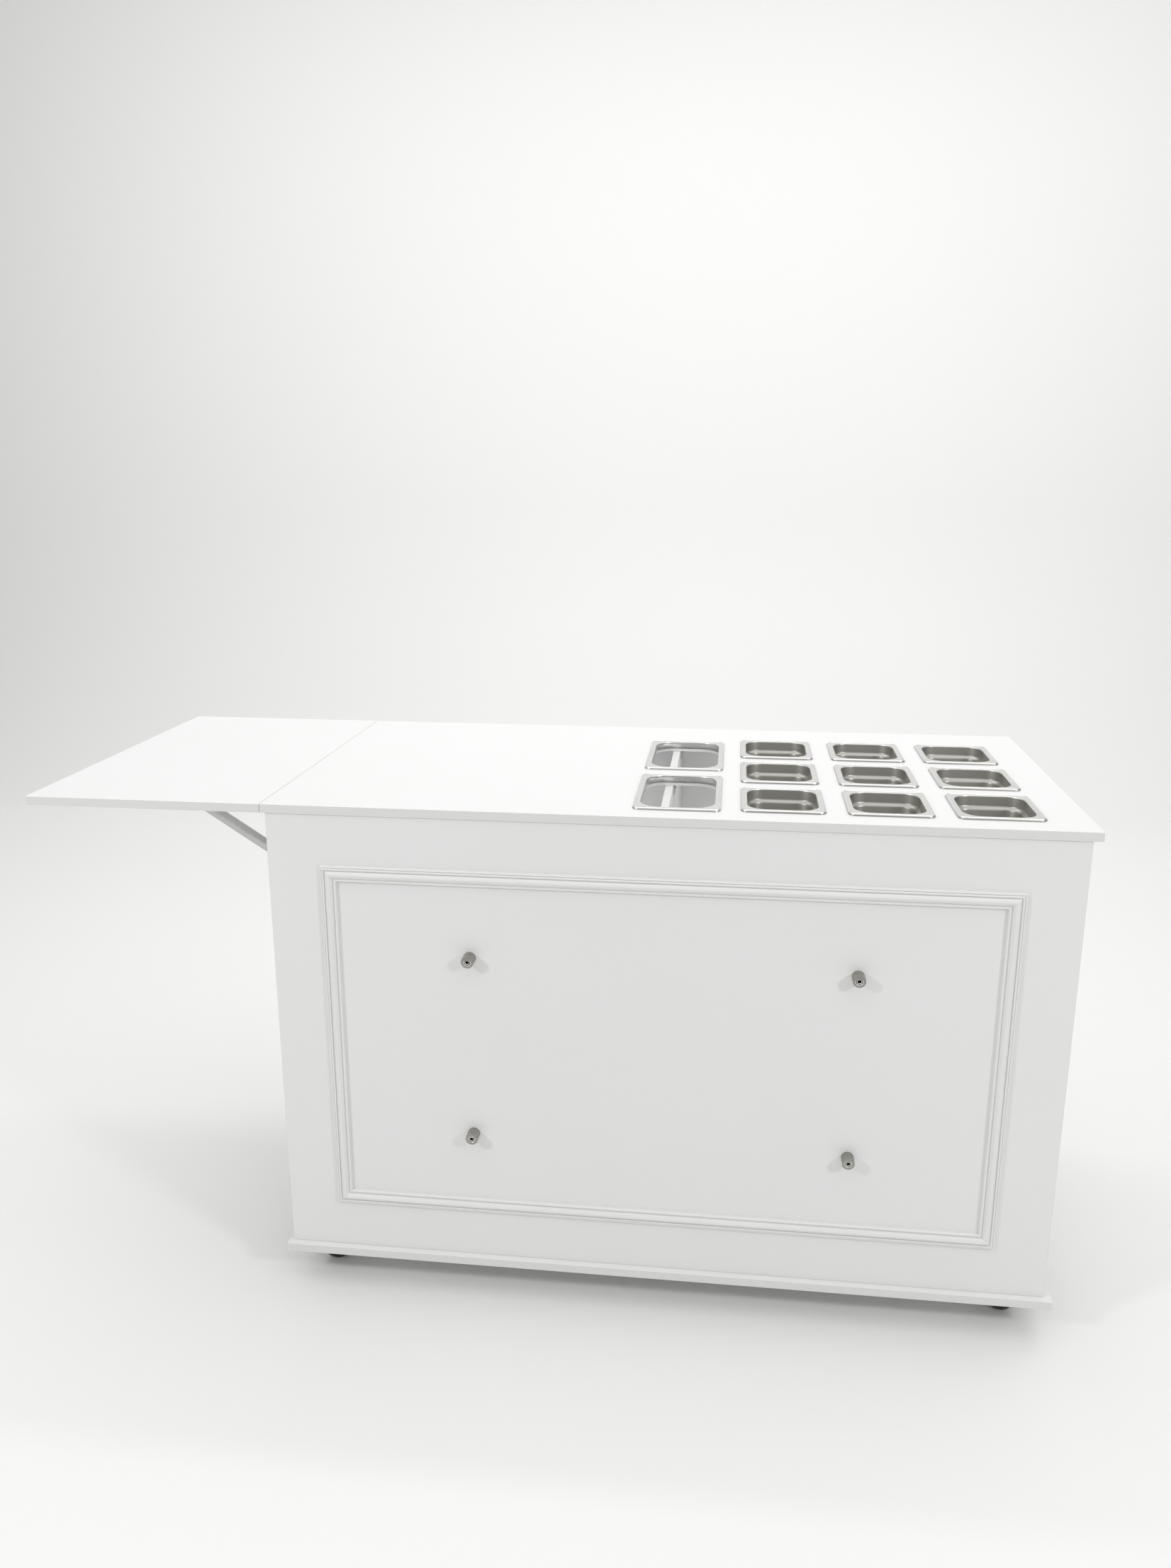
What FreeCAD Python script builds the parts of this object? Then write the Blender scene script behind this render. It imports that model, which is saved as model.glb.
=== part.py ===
import FreeCAD, Part
import math
import os
import re

import Sketcher

Vector = FreeCAD.Vector

# A mobile serving counter: a melamine cabinet on four casters, with a worktop that holds
# nine lift-out pans and two open rims, a drop leaf on its left and sliding doors behind.
# Millimetres. +X is to the right seen from the front, +Y to the back and +Z up. The origin
# is on the floor, under the middle of the whole counter with its leaf raised.

SIZES = (
    # worktop and leaf
    ("worktop_length", 1584, "worktop without the leaf"),
    ("worktop_depth", 810, "front to back, worktop and leaf"),
    ("worktop_thickness", 18, "worktop and leaf board"),
    ("leaf_length", 485, "drop leaf"),
    ("seam_gap", 1, "between leaf and worktop"),
    ("edge_rounding", 1, "edge banding"),
    # cabinet
    ("cabinet_height", 957, "boards between base and worktop"),
    ("board", 16, "cabinet board"),
    ("overhang_left", 9, "worktop past the cabinet"),
    ("overhang_right", 17, "worktop past the cabinet"),
    ("overhang_front", 4, "worktop past the front panel"),
    ("overhang_rear", 20, "worktop past the side panels"),
    ("partition_shift", 4, "partition left of the middle"),
    ("base_thickness", 18, "base board"),
    ("base_reach_front", 15, "base past the front panel"),
    ("base_reach_left", 11, "base past the cabinet"),
    ("base_reach_right", 15, "base past the cabinet"),
    ("base_corner", 4, "upright corners of the base"),
    ("shelf_height", 450, "shelf above the base"),
    ("shelf_play", 1, "shelf to the boards round it"),
    ("shelf_pin_radius", 2.5, "shelf pin"),
    ("shelf_pin_length", 16, "half in the board"),
    ("shelf_pin_inset", 70, "pin from the shelf's end"),
    ("shelf_gap_rear", 11, "shelf to the door tracks"),
    # pans and rims in the worktop
    ("pan_length", 162, "sixth-size pan along X"),
    ("pan_width", 176, "sixth-size pan along Y"),
    ("pan_depth", 65, "below the worktop's top"),
    ("pan_corner", 14, "flange corner"),
    ("pan_mouth_corner", 34, "mouth corner"),
    ("pan_foot_rounding", 9, "between wall and bottom"),
    ("pan_ledge", 4, "stacking shoulder's step inwards, at the flange"),
    ("pan_ledge_depth", 23, "foot of the shoulder below the worktop's top"),
    ("pan_ledge_rounding", 7, "shoulder"),
    ("pan_taper", 5, "wall slope in degrees"),
    ("pan_columns_x", 933, "first pan from the seam"),
    ("pan_rows_y", 55, "first pan from the front"),
    ("pan_pitch_x", 202, "pan to pan"),
    ("pan_pitch_y", 222, "pan to pan"),
    ("rim_length", 171, "open rim along X"),
    ("rim_width", 273, "open rim along Y"),
    ("rim_collar", 11, "collar below the worktop's top"),
    ("rim_mouth_corner", 42, "mouth corner"),
    ("rim_column_x", 725, "rims from the seam"),
    ("rim_row_y", 48, "first rim from the front"),
    ("rim_pitch_y", 323, "rim to rim"),
    ("flange", 13, "flange width"),
    ("flange_height", 5.2, "flange above the worktop"),
    ("flange_border", 6, "rolled border"),
    ("flange_step", 0.8, "flange below its border"),
    ("flange_rounding", 4.5, "border's outer edge"),
    ("sheet_steel", 1, "pan and rim wall"),
    ("cutout_play", 1.5, "wall to worktop"),
    # picture-frame moulding on the front panel
    ("moulding_margin_side", 107, "from the cabinet's sides"),
    ("moulding_margin_end", 104, "from worktop and base"),
    ("moulding_width", 32, "strip width"),
    ("moulding_relief", 12, "strip thickness at its crest"),
    ("moulding_back", 5, "strip thickness in its grooves"),
    ("reed", 2, "radius of the two outer reeds"),
    ("bead", 2.5, "radius of the inner bead"),
    ("groove", 2, "between reeds, swell and bead"),
    # sign standoffs
    ("standoff_radius", 12.5, "barrel"),
    ("standoff_length", 25, "barrel"),
    ("standoff_spacing_x", 754, "centre to centre"),
    ("standoff_spacing_z", 387, "centre to centre"),
    ("insert_radius", 8, "threaded insert"),
    ("insert_depth", 12, "insert in the barrel"),
    ("thread_radius", 3.4, "thread bore for the sign's cap"),
    ("thread_depth", 10, "thread bore"),
    ("stem_radius", 3, "insert's stem through the panel"),
    ("nut_flats", 10, "nut on the stem"),
    ("nut_height", 5, "nut on the stem"),
    ("stem_reach", 8, "stem behind the panel"),
    ("standoff_bevel", 1.25, "barrel's front edge"),
    ("ring_groove_outer", 6.24, "groove round the insert's thread"),
    ("ring_groove_inner", 5.12, "groove round the insert's thread"),
    ("ring_groove_depth", 1.6, "groove round the insert's thread"),
    # sliding doors
    ("track_rib", 2, "track rib and floor"),
    ("track_lip_top", 20, "height of the upper track"),
    ("track_lip_bottom", 10, "height of the lower track"),
    ("door_thickness", 15, "door board"),
    ("door_play", 0.5, "door to each rib"),
    ("door_lift", 10, "room above a door"),
    ("door_glide", 0.3, "under a door"),
    ("door_overlap", 40, "door past door"),
    ("pull_radius", 16, "flush pull's cup"),
    ("pull_depth", 10, "flush pull's cup"),
    ("pull_flange", 3, "flush pull's flange"),
    ("pull_sheet", 1.2, "flush pull's wall"),
    ("pull_inset", 60, "from the door's outer edge"),
    ("pull_level", 0.6, "share of the door's height"),
    # drop leaf brackets
    ("bracket_inset", 180, "strut from front and rear edge"),
    ("bracket_sheet", 2, "bracket steel"),
    ("bracket_play", 1, "leg in arm and strut in leg"),
    ("strut_width", 28, "strut channel"),
    ("strut_height", 14, "strut channel"),
    ("strut_foot_drop", 150, "foot pivot below corner pivot"),
    ("strut_top_reach", 230, "top pin out from corner pivot"),
    ("strut_tail", 8, "channel past its pins"),
    ("corner_reach", 21, "corner pivot out from the side"),
    ("corner_drop", 15, "corner pivot below the leaf"),
    ("arm_height", 22, "arm channel"),
    ("arm_tail", 8, "arm and leg past a pivot"),
    ("arm_spare", 16, "arm past its slot"),
    ("pivot_radius", 4, "bracket pins"),
    ("pivot_play", 0.05, "bracket pin to hole"),
    ("corner_pin_reach", 1, "corner pin past the arm"),
    ("slot_play", 0.4, "top pin to slot"),
    ("notch_depth", 3, "slot's latch notch"),
    # fasteners
    ("screw_radius", 2, "wood screw"),
    ("screw_length", 13, "screw in the board"),
    ("head_radius", 4, "screw head"),
    ("head_height", 2.4, "screw head"),
    ("angle_leg", 26, "fixing angle"),
    ("angle_length", 36, "fixing angle"),
    ("angle_inset", 60, "from panel and tracks"),
    ("cutter_spare", 1, "cutter past what it cuts"),
    # casters
    ("caster_height", 78, "floor to base board"),
    ("caster_inset_x", 100, "king pin from the base's end"),
    ("caster_inset_y", 104, "king pin from base front and rear"),
    ("caster_trail", 24, "axle behind the king pin"),
    ("plate_length", 64, "caster plate"),
    ("plate_width", 56, "caster plate"),
    ("plate_thickness", 3, "caster plate"),
    ("plate_hole_inset", 7, "screw from the plate's edges"),
    ("race_radius", 17, "ball race"),
    ("race_height", 4.5, "ball race"),
    ("race_play", 0.5, "race to fork"),
    ("king_pin_radius", 4, "king pin"),
    ("fork_sheet", 2.5, "fork steel"),
    ("fork_lobe", 8, "fork round the axle"),
    ("wheel_radius", 30, "wheel"),
    ("wheel_width", 24, "wheel"),
    ("wheel_play", 1.5, "wheel to fork"),
    ("axle_radius", 4, "axle"),
    ("axle_head_radius", 6.4, "axle's head and nut"),
    ("axle_head_height", 2.5, "axle's head"),
    ("axle_nut_height", 3.5, "axle's nut"),
    ("hub_radius", 10, "wheel hub"),
    ("tread_inner_radius", 24, "inside of the tread"),
    ("tread_bevel", 2.5, "tread's edge and the disc's recess"),
    ("running_fit", 0.06, "axle and king pin to bore"),
)

# Places and lengths that follow from the sizes above.
PLACES = {
    "whole_length": "leaf_length + seam_gap + worktop_length",
    "seam_x": "leaf_length + seam_gap - whole_length / 2",
    "front_reach": "standoff_length - overhang_front",
    "front_y": "(front_reach - worktop_depth) / 2",
    "base_top": "caster_height + base_thickness",
    "underside": "base_top + cabinet_height",
    "top": "underside + worktop_thickness",
    "panel_y": "front_y + overhang_front",
    "inside_y": "panel_y + board",
    "cabinet_left": "seam_x + overhang_left",
    "cabinet_right": "seam_x + worktop_length - overhang_right",
    "cabinet_length": "cabinet_right - cabinet_left",
    "cabinet_middle": "(cabinet_left + cabinet_right) / 2",
    "cabinet_rear": "front_y + worktop_depth - overhang_rear",
    "inside_left": "cabinet_left + board",
    "inside_right": "cabinet_right - board",
    "inside_length": "inside_right - inside_left",
    "partition_x": "cabinet_middle - partition_shift - board / 2",
    "base_left": "cabinet_left - base_reach_left",
    "base_right": "cabinet_right + base_reach_right",
    "base_front": "panel_y - base_reach_front",
    "track_groove": "door_thickness + 2 * door_play",
    "track_depth": "3 * track_rib + 2 * track_groove",
    "track_y": "cabinet_rear - track_depth",
    "door_z": "base_top + track_rib + door_glide",
    "door_height": "underside - track_rib - door_lift - door_z",
    "door_length": "(inside_length + door_overlap) / 2 - door_play",
    "shelf_z": "base_top + shelf_height",
    "corner_x": "cabinet_left - corner_reach",
    "corner_z": "underside - corner_drop",
    "foot_z": "corner_z - strut_foot_drop",
    "strut_length": "sqrt(strut_foot_drop ^ 2 + strut_top_reach ^ 2)",
    "strut_slope": "atan(strut_foot_drop / strut_top_reach)",
    "slot_end": "strut_foot_drop + strut_length",
    "leg_width": "strut_width + 2 * bracket_play + 2 * bracket_sheet",
    "arm_width": "leg_width + 2 * bracket_play + 2 * bracket_sheet",
    "arm_reach": "slot_end + arm_spare",
    "corner_pin_length": "arm_width + 2 * corner_pin_reach",
    "bracket_front_y": "front_y + bracket_inset + strut_width / 2",
    "bracket_rear_y": "front_y + worktop_depth - bracket_inset - strut_width / 2",
    "fork_top": "caster_height - plate_thickness - race_height - race_play",
    "fork_width": "wheel_width + 2 * wheel_play + 2 * fork_sheet",
    "moulding_left": "cabinet_left + moulding_margin_side",
    "moulding_right": "cabinet_right - moulding_margin_side",
    "moulding_bottom": "base_top + moulding_margin_end",
    "moulding_top": "underside - moulding_margin_end",
}

ALIASES = {alias for alias, _, _ in SIZES}

doc = FreeCAD.newDocument("serving_counter")
sheet = doc.addObject("Spreadsheet::Sheet", "sizes")
for row, (alias, value, note) in enumerate(SIZES, start=1):
    sheet.set(f"A{row}", alias)
    sheet.set(f"B{row}", str(value))
    sheet.set(f"C{row}", note)
    sheet.setAlias(f"B{row}", alias)
doc.recompute()

nodes = []


# ---------------------------------------------------------------- helpers

def formula(text):
    """Words that name a size or a place become an expression on the sheet's cells."""
    def swap(match):
        word = match.group(0)
        if word in PLACES:
            return f"({formula(PLACES[word])})"
        return f"sizes.{word}" if word in ALIASES else word
    return re.sub(r"[a-z][a-z_]*", swap, str(text))


def value_of(text):
    """The number that a formula gives with the sheet's present values."""
    result = sheet.evalExpression(formula(text))
    return float(getattr(result, "Value", result))


def bind(thing, **formulas):
    for name, text in formulas.items():
        thing.setExpression(name, formula(text))
    return thing


def place(thing, x, y, z, axis=(0, 0, 1), angle=0):
    """Put a thing at x, y, z, turned about an axis by a number or a formula of degrees."""
    degrees = value_of(angle)
    thing.Placement = FreeCAD.Placement(Vector(), FreeCAD.Rotation(Vector(*axis), degrees))
    if isinstance(angle, str):
        thing.setExpression(".Placement.Rotation.Angle", formula(angle))
    for letter, text in zip("xyz", (x, y, z)):
        thing.setExpression(f".Placement.Base.{letter}", formula(text))
    return thing


def box(name, corner, size):
    piece = bind(doc.addObject("Part::Box", name), Length=size[0], Width=size[1], Height=size[2])
    return place(piece, *corner)


def rod(name, centre, radius, length, along="z"):
    """A cylinder that starts at centre and runs along +X, +Y or +Z."""
    piece = bind(doc.addObject("Part::Cylinder", name), Radius=radius, Height=length)
    axis, angle = {"z": ((0, 0, 1), 0), "x": ((0, 1, 0), 90), "y": ((1, 0, 0), -90)}[along]
    return place(piece, *centre, axis, angle)


def group(name, pieces):
    piece = doc.addObject("Part::Compound", name)
    piece.Links = pieces
    return piece


def copy(name, master, x, y, z, axis=(0, 0, 1), angle=0):
    return place(group(name, [master]), x, y, z, axis, angle)


def fuse(name, pieces):
    piece = doc.addObject("Part::MultiFuse", name)
    piece.Shapes = pieces
    return piece


def cut(name, base, tools):
    piece = doc.addObject("Part::Cut", name)
    piece.Base = base
    piece.Tool = tools[0] if len(tools) == 1 else group(f"{name}_tools", tools)
    return piece


def common(name, first, second):
    piece = doc.addObject("Part::Common", name)
    piece.Base = first
    piece.Tool = second
    return piece


def node(piece):
    """Keep a finished sub-part: its label is its node's name."""
    nodes.append(piece)
    return piece


def origin_part(body, role):
    return next(part for part in body.Origin.OriginFeatures if part.Role == role)


def arc_between(start, end, radius, side):
    """The short arc from start to end; side is 1 where its centre is on the left hand."""
    chord = end - start
    height = math.sqrt(max(radius ** 2 - chord.Length ** 2 / 4, 0))
    left = Vector(-chord.y, chord.x, 0).normalize()
    centre = (start + end) * 0.5 + left * height * side
    first, last = (start, end) if side > 0 else (end, start)
    angles = [math.atan2(point.y - centre.y, point.x - centre.x) for point in (first, last)]
    return Part.ArcOfCircle(Part.Circle(centre, Vector(0, 0, 1), radius), *angles)


def outline(body, plane, steps):
    """A closed sketch. Each step is a corner (a, b), or (a, b, radius, side) where an arc
    leaves that corner; every corner and radius is bound to its formula."""
    sketch = body.newObject("Sketcher::SketchObject", f"{body.Name}_outline")
    sketch.AttachmentSupport = (origin_part(body, plane), [""])
    sketch.MapMode = "FlatFace"
    corners = [Vector(value_of(step[0]), value_of(step[1]), 0) for step in steps]
    starts, ends = [], []
    for index, step in enumerate(steps):
        start, end = corners[index], corners[(index + 1) % len(steps)]
        side = 0
        if len(step) == 2:
            sketch.addGeometry(Part.LineSegment(start, end), False)
        else:
            side = step[3]
            sketch.addGeometry(arc_between(start, end, value_of(step[2]), side), False)
        starts.append(2 if side < 0 else 1)
        ends.append(1 if side < 0 else 2)
    for index, step in enumerate(steps):
        following = (index + 1) % len(steps)
        sketch.addConstraint(
            Sketcher.Constraint("Coincident", index, ends[index], following, starts[following]))
        for kind, text in (("DistanceX", step[0]), ("DistanceY", step[1])):
            rule = Sketcher.Constraint(kind, -1, 1, index, starts[index], value_of(text))
            sketch.setExpression(f"Constraints[{sketch.addConstraint(rule)}]", formula(text))
        if len(step) > 2:
            rule = Sketcher.Constraint("Radius", index, value_of(step[2]))
            sketch.setExpression(f"Constraints[{sketch.addConstraint(rule)}]", formula(step[2]))
    return sketch


def padded(name, plane, steps, length, reverse=False, both_ways=False, taper=None):
    """A body padded from one outline: XY pads to +Z, XZ to -Y and YZ to +X, or reversed."""
    body = doc.addObject("PartDesign::Body", name)
    pad = body.newObject("PartDesign::Pad", f"{name}_pad")
    pad.Profile = outline(body, plane, steps)
    pad.Reversed = reverse
    pad.Midplane = both_ways
    bind(pad, Length=length)
    if taper:
        bind(pad, TaperAngle=f"-({taper})")
    return body


def turned(name, steps):
    """A body turned about Z from an outline of (radius, height) corners."""
    body = doc.addObject("PartDesign::Body", name)
    turn = body.newObject("PartDesign::Revolution", f"{name}_turn")
    turn.Profile = outline(body, "XZ_Plane", steps)
    turn.ReferenceAxis = (origin_part(body, "Z_Axis"), [""])
    turn.Angle = 360
    return body


def rounded(body, radius, chosen):
    """Round the edges of a body's last feature that chosen(edge) picks."""
    doc.recompute()
    base = body.Tip
    picked = [f"Edge{number}" for number, edge in enumerate(base.Shape.Edges, start=1) if chosen(edge)]
    fillet = body.newObject("PartDesign::Fillet", f"{base.Name}_rounding")
    fillet.Base = (base, picked)
    bind(fillet, Radius=radius)
    return body


def upright(edge):
    return edge.BoundBox.XLength + edge.BoundBox.YLength < 1e-6


def at_height(height):
    """Chooses the edges that lie flat at a height, given as a formula."""
    def chosen(edge):
        bounds = edge.BoundBox
        level = value_of(height)
        return max(abs(bounds.ZMin - level), abs(bounds.ZMax - level)) < 1e-4
    return chosen


def rectangle(low_a, low_b, high_a, high_b):
    return [(low_a, low_b), (high_a, low_b), (high_a, high_b), (low_a, high_b)]


def rounded_rectangle(length, width, corner):
    """A rectangle round the origin with round corners."""
    far_x, far_y = f"({length}) / 2", f"({width}) / 2"
    near_x, near_y = f"{far_x} - ({corner})", f"{far_y} - ({corner})"
    return [
        (f"-({near_x})", f"-({far_y})"), (near_x, f"-({far_y})", corner, 1),
        (far_x, f"-({near_y})"), (far_x, near_y, corner, 1),
        (near_x, far_y), (f"-({near_x})", far_y, corner, 1),
        (f"-({far_x})", near_y), (f"-({far_x})", f"-({near_y})", corner, 1),
    ]


def board(name, corner, size):
    """A board with banded, slightly rounded edges."""
    body = padded(name, "XY_Plane", rectangle("0", "0", size[0], size[1]), size[2])
    rounded(body, "edge_rounding", lambda edge: True)
    return place(body, *corner)


# ---------------------------------------------------------------- screws

def screw_master():
    """A pan-head screw: its head stands on z = 0 and its shank runs to -Z."""
    return turned("screw_master", [
        ("0", "-(screw_length + bracket_sheet)"),
        ("screw_radius", "-(screw_length + bracket_sheet) + screw_radius"),
        ("screw_radius", "0"),
        ("head_radius", "0"),
        ("head_radius - 0.3 * head_height", "head_height"),
        ("0", "head_height"),
    ])


screw = screw_master()
TOWARDS = {
    "+z": ((1, 0, 0), 180),
    "-z": ((0, 0, 1), 0),
    "+x": ((0, 1, 0), -90),
    "-x": ((0, 1, 0), 90),
}


def screws(name, places):
    """Screws at (x, y, z, direction), each driven in that direction."""
    made = []
    for number, (x, y, z, direction) in enumerate(places, start=1):
        made.append(copy(f"{name}_{number}", screw, x, y, z, *TOWARDS[direction]))
    return node(group(name, made))


# ---------------------------------------------------------------- fixing angles

ANGLE_Y = {
    "front": "inside_y + angle_inset",
    "middle": "front_y + rim_row_y + (rim_width + rim_pitch_y) / 2 - angle_length / 2",
    "rear": "track_y - angle_inset - angle_length",
}


def fixing_angles():
    """Steel angles that hold worktop and base to the side panels and the partition, and
    the screws in both legs of each."""
    angle = padded("angle_master", "XZ_Plane", [
        ("0", "0"), ("angle_leg", "0"), ("angle_leg", "bracket_sheet"),
        ("bracket_sheet", "bracket_sheet"), ("bracket_sheet", "angle_leg"), ("0", "angle_leg"),
    ], "angle_length", reverse=True)
    boards = (
        ("left", "inside_left", 1, ("front", "rear")),
        ("right", "inside_right", -1, ("front", "rear")),
        ("partition", "partition_x + board", 1, ("middle", "rear")),
    )
    made, places = [], []
    reach = "(angle_leg + bracket_sheet) / 2"
    for level, z, up in (("base", "base_top", 1), ("top", "underside", -1)):
        for side, x, out, spots in boards:
            for spot in spots:
                axis, turn, shift = {
                    (1, 1): ((0, 0, 1), 0, "0"),
                    (-1, 1): ((0, 0, 1), 180, "angle_length"),
                    (-1, -1): ((0, 1, 0), 180, "0"),
                    (1, -1): ((1, 0, 0), 180, "angle_length"),
                }[(out, up)]
                name = f"angle_{level}_{side}_{spot}"
                start = ANGLE_Y[spot]
                made.append(copy(name, angle, x, f"{start} + {shift}", z, axis, turn))
                middle = f"{start} + angle_length / 2"
                places.append((f"{x} + {out} * bracket_sheet", middle, f"{z} + {up} * {reach}",
                               "-x" if out > 0 else "+x"))
                places.append((f"{x} + {out} * {reach}", middle, f"{z} + {up} * bracket_sheet",
                               "-z" if up > 0 else "+z"))
    return made, places


angles, angle_places = fixing_angles()
fixing_screws = screws("fixing_screws", angle_places)
node(cut("fixing_angles", group("angle_set", angles), [fixing_screws]))


# ---------------------------------------------------------------- drop leaf brackets

BRACKETS = (("front", "bracket_front_y"), ("rear", "bracket_rear_y"))


def arm_blank():
    """The arm under the leaf: a channel open downwards, with a slot for the strut's pin.
    Its corner pivot is at the origin and it runs to -X."""
    length = "arm_reach + arm_tail"
    outer = box("arm_outer", ("-arm_reach", "-arm_width / 2", "corner_drop - arm_height"),
                (length, "arm_width", "arm_height"))
    inner = box("arm_inner",
                ("-arm_reach", "-arm_width / 2 + bracket_sheet", "corner_drop - arm_height"),
                (length, "arm_width - 2 * bracket_sheet", "arm_height - bracket_sheet"))
    pivot = rod("arm_pivot_hole", ("0", "-arm_width / 2", "0"), "pivot_radius + pivot_play",
                "arm_width", "y")
    half = "pivot_radius + slot_play"
    slot = box("arm_slot", ("-slot_end", "-arm_width / 2", f"-({half})"),
               ("slot_end - strut_top_reach", "arm_width", f"2 * ({half})"))
    ends = [rod(f"arm_slot_{name}", (f"-{reach}", "-arm_width / 2", "0"), half, "arm_width", "y")
            for name, reach in (("near", "strut_top_reach"), ("far", "slot_end"))]
    notch = rod("arm_notch", ("-strut_top_reach", "-arm_width / 2", "notch_depth"), half,
                "arm_width", "y")
    return cut("arm_blank", outer, [fuse("arm_holes", [inner, pivot, slot, *ends, notch])])


def leg_blank():
    """The leg on the side panel: a channel with its web on the panel and both pivots in
    its flanges. Its corner pivot is at the origin."""
    low = "-strut_foot_drop - arm_tail"
    height = "strut_foot_drop + 2 * arm_tail"
    outer = box("leg_outer", ("-arm_tail", "-leg_width / 2", low),
                ("corner_reach + arm_tail", "leg_width", height))
    inner = box("leg_inner", ("-arm_tail", "-leg_width / 2 + bracket_sheet", low),
                ("corner_reach + arm_tail - bracket_sheet", "leg_width - 2 * bracket_sheet", height))
    holes = [rod(f"leg_hole_{name}", ("0", "-leg_width / 2", z), "pivot_radius", "leg_width", "y")
             for name, z in (("corner", "0"), ("foot", "-strut_foot_drop"))]
    return cut("leg_blank", outer, [fuse("leg_holes", [inner, *holes])])


def strut_blank():
    """The strut: a channel open on its under side, from its foot pivot at the origin to
    its top pin out along -X."""
    length = "strut_length + 2 * strut_tail"
    start = "-strut_length - strut_tail"
    outer = box("strut_outer", (start, "-strut_width / 2", "-strut_height / 2"),
                (length, "strut_width", "strut_height"))
    inner = box("strut_inner",
                (start, "-strut_width / 2 + bracket_sheet", "-strut_height / 2 - bracket_sheet"),
                (length, "strut_width - 2 * bracket_sheet", "strut_height"))
    foot = rod("strut_foot_hole", ("0", "-strut_width / 2", "0"), "pivot_radius + pivot_play",
               "strut_width", "y")
    top = rod("strut_top_hole", ("-strut_length", "-strut_width / 2", "0"), "pivot_radius",
              "strut_width", "y")
    return cut("strut_blank", outer, [fuse("strut_holes", [inner, foot, top])])


ARM_SCREWS = (0.08, 0.36, 0.64, 0.95)
LEG_SCREWS = (0.22, 0.5, 0.78)
arm, leg, strut = arm_blank(), leg_blank(), strut_blank()
top_pin = rod("top_pin", ("-strut_length", "-leg_width / 2", "0"), "pivot_radius", "leg_width", "y")
arm_places, leg_places, arms, legs, pins = [], [], [], [], []
for name, y in BRACKETS:
    arms.append(copy(f"arm_{name}", arm, "corner_x", y, "corner_z"))
    legs.append(copy(f"leg_{name}", leg, "corner_x", y, "corner_z"))
    for level, z, length in (("corner", "corner_z", "corner_pin_length"),
                             ("foot", "foot_z", "leg_width")):
        pins.append(rod(f"pin_{level}_{name}", ("corner_x", f"{y} - {length} / 2", z),
                        "pivot_radius", length, "y"))
    strut_copy = copy(f"strut_{name}_channel", strut, "corner_x", y, "foot_z", (0, 1, 0), "strut_slope")
    pin_copy = copy(f"strut_{name}_pin", top_pin, "corner_x", y, "foot_z", (0, 1, 0), "strut_slope")
    node(group(f"bracket_strut_{name}", [strut_copy, pin_copy]))
    for share in ARM_SCREWS:
        arm_places.append((f"corner_x - {share} * arm_reach", y, "underside - bracket_sheet", "+z"))
    for share in LEG_SCREWS:
        leg_places.append(("cabinet_left - bracket_sheet", y,
                           f"corner_z - {share} * strut_foot_drop", "+x"))
arm_screws = screws("bracket_arm_screws", arm_places)
leg_screws = screws("bracket_leg_screws", leg_places)
node(cut("bracket_arms", group("arm_set", arms), [arm_screws]))
node(cut("bracket_legs", group("leg_set", legs), [leg_screws]))
node(group("bracket_pivot_pins", pins))


# ---------------------------------------------------------------- casters

CASTERS = (
    ("front_left", "base_left + caster_inset_x", "base_front + caster_inset_y", 0),
    ("front_right", "base_right - caster_inset_x", "base_front + caster_inset_y", 180),
    ("rear_left", "base_left + caster_inset_x", "cabinet_rear - caster_inset_y", 0),
    ("rear_right", "base_right - caster_inset_x", "cabinet_rear - caster_inset_y", 180),
)


def caster_plate():
    """Top plate, ball race and king pin of one caster, on the king pin's axis."""
    plate = padded("plate_blank", "XY_Plane",
                   rounded_rectangle("plate_length", "plate_width", "plate_hole_inset"),
                   "plate_thickness")
    place(plate, "0", "0", "caster_height - plate_thickness")
    race_low = "caster_height - plate_thickness - race_height"
    race = rod("plate_race", ("0", "0", race_low), "race_radius", "race_height")
    crown_low = "fork_top - fork_sheet"
    pin = rod("king_pin", ("0", "0", f"{crown_low} - race_play"), "king_pin_radius",
              "race_height + fork_sheet")
    head = rod("king_pin_head", ("0", "0", f"{crown_low} - 2 * race_play - fork_sheet / 2"),
               "2 * king_pin_radius", "race_play + fork_sheet / 2")
    return fuse("caster_plate_master", [plate, race, pin, head])


def caster_fork():
    """A bent fork: a crown under the ball race and two legs that trail to the axle."""
    lobe = "fork_lobe"
    side = padded("fork_side", "XZ_Plane", [
        ("race_radius", "fork_top"),
        (f"-caster_trail + {lobe} / 2 - {lobe}", "fork_top"),
        (f"-caster_trail - {lobe}", "wheel_radius", lobe, 1),
        ("-caster_trail", f"wheel_radius - {lobe}", lobe, 1),
        (f"-caster_trail + {lobe}", "wheel_radius"),
        ("race_radius", "fork_top - 2 * fork_sheet"),
    ], "fork_width", both_ways=True)
    hollow = box("fork_hollow",
                 ("-caster_trail - 2 * wheel_radius", "-fork_width / 2 + fork_sheet", "0"),
                 ("4 * wheel_radius", "fork_width - 2 * fork_sheet", "fork_top - fork_sheet"))
    bore = rod("fork_axle_hole", ("-caster_trail", "-fork_width / 2", "wheel_radius"),
               "axle_radius", "fork_width", "y")
    king_hole = rod("fork_king_hole", ("0", "0", "fork_top - 2 * fork_sheet"),
                    "king_pin_radius + running_fit", "3 * fork_sheet")
    return cut("caster_fork_master", side, [hollow, bore, king_hole])


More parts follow.
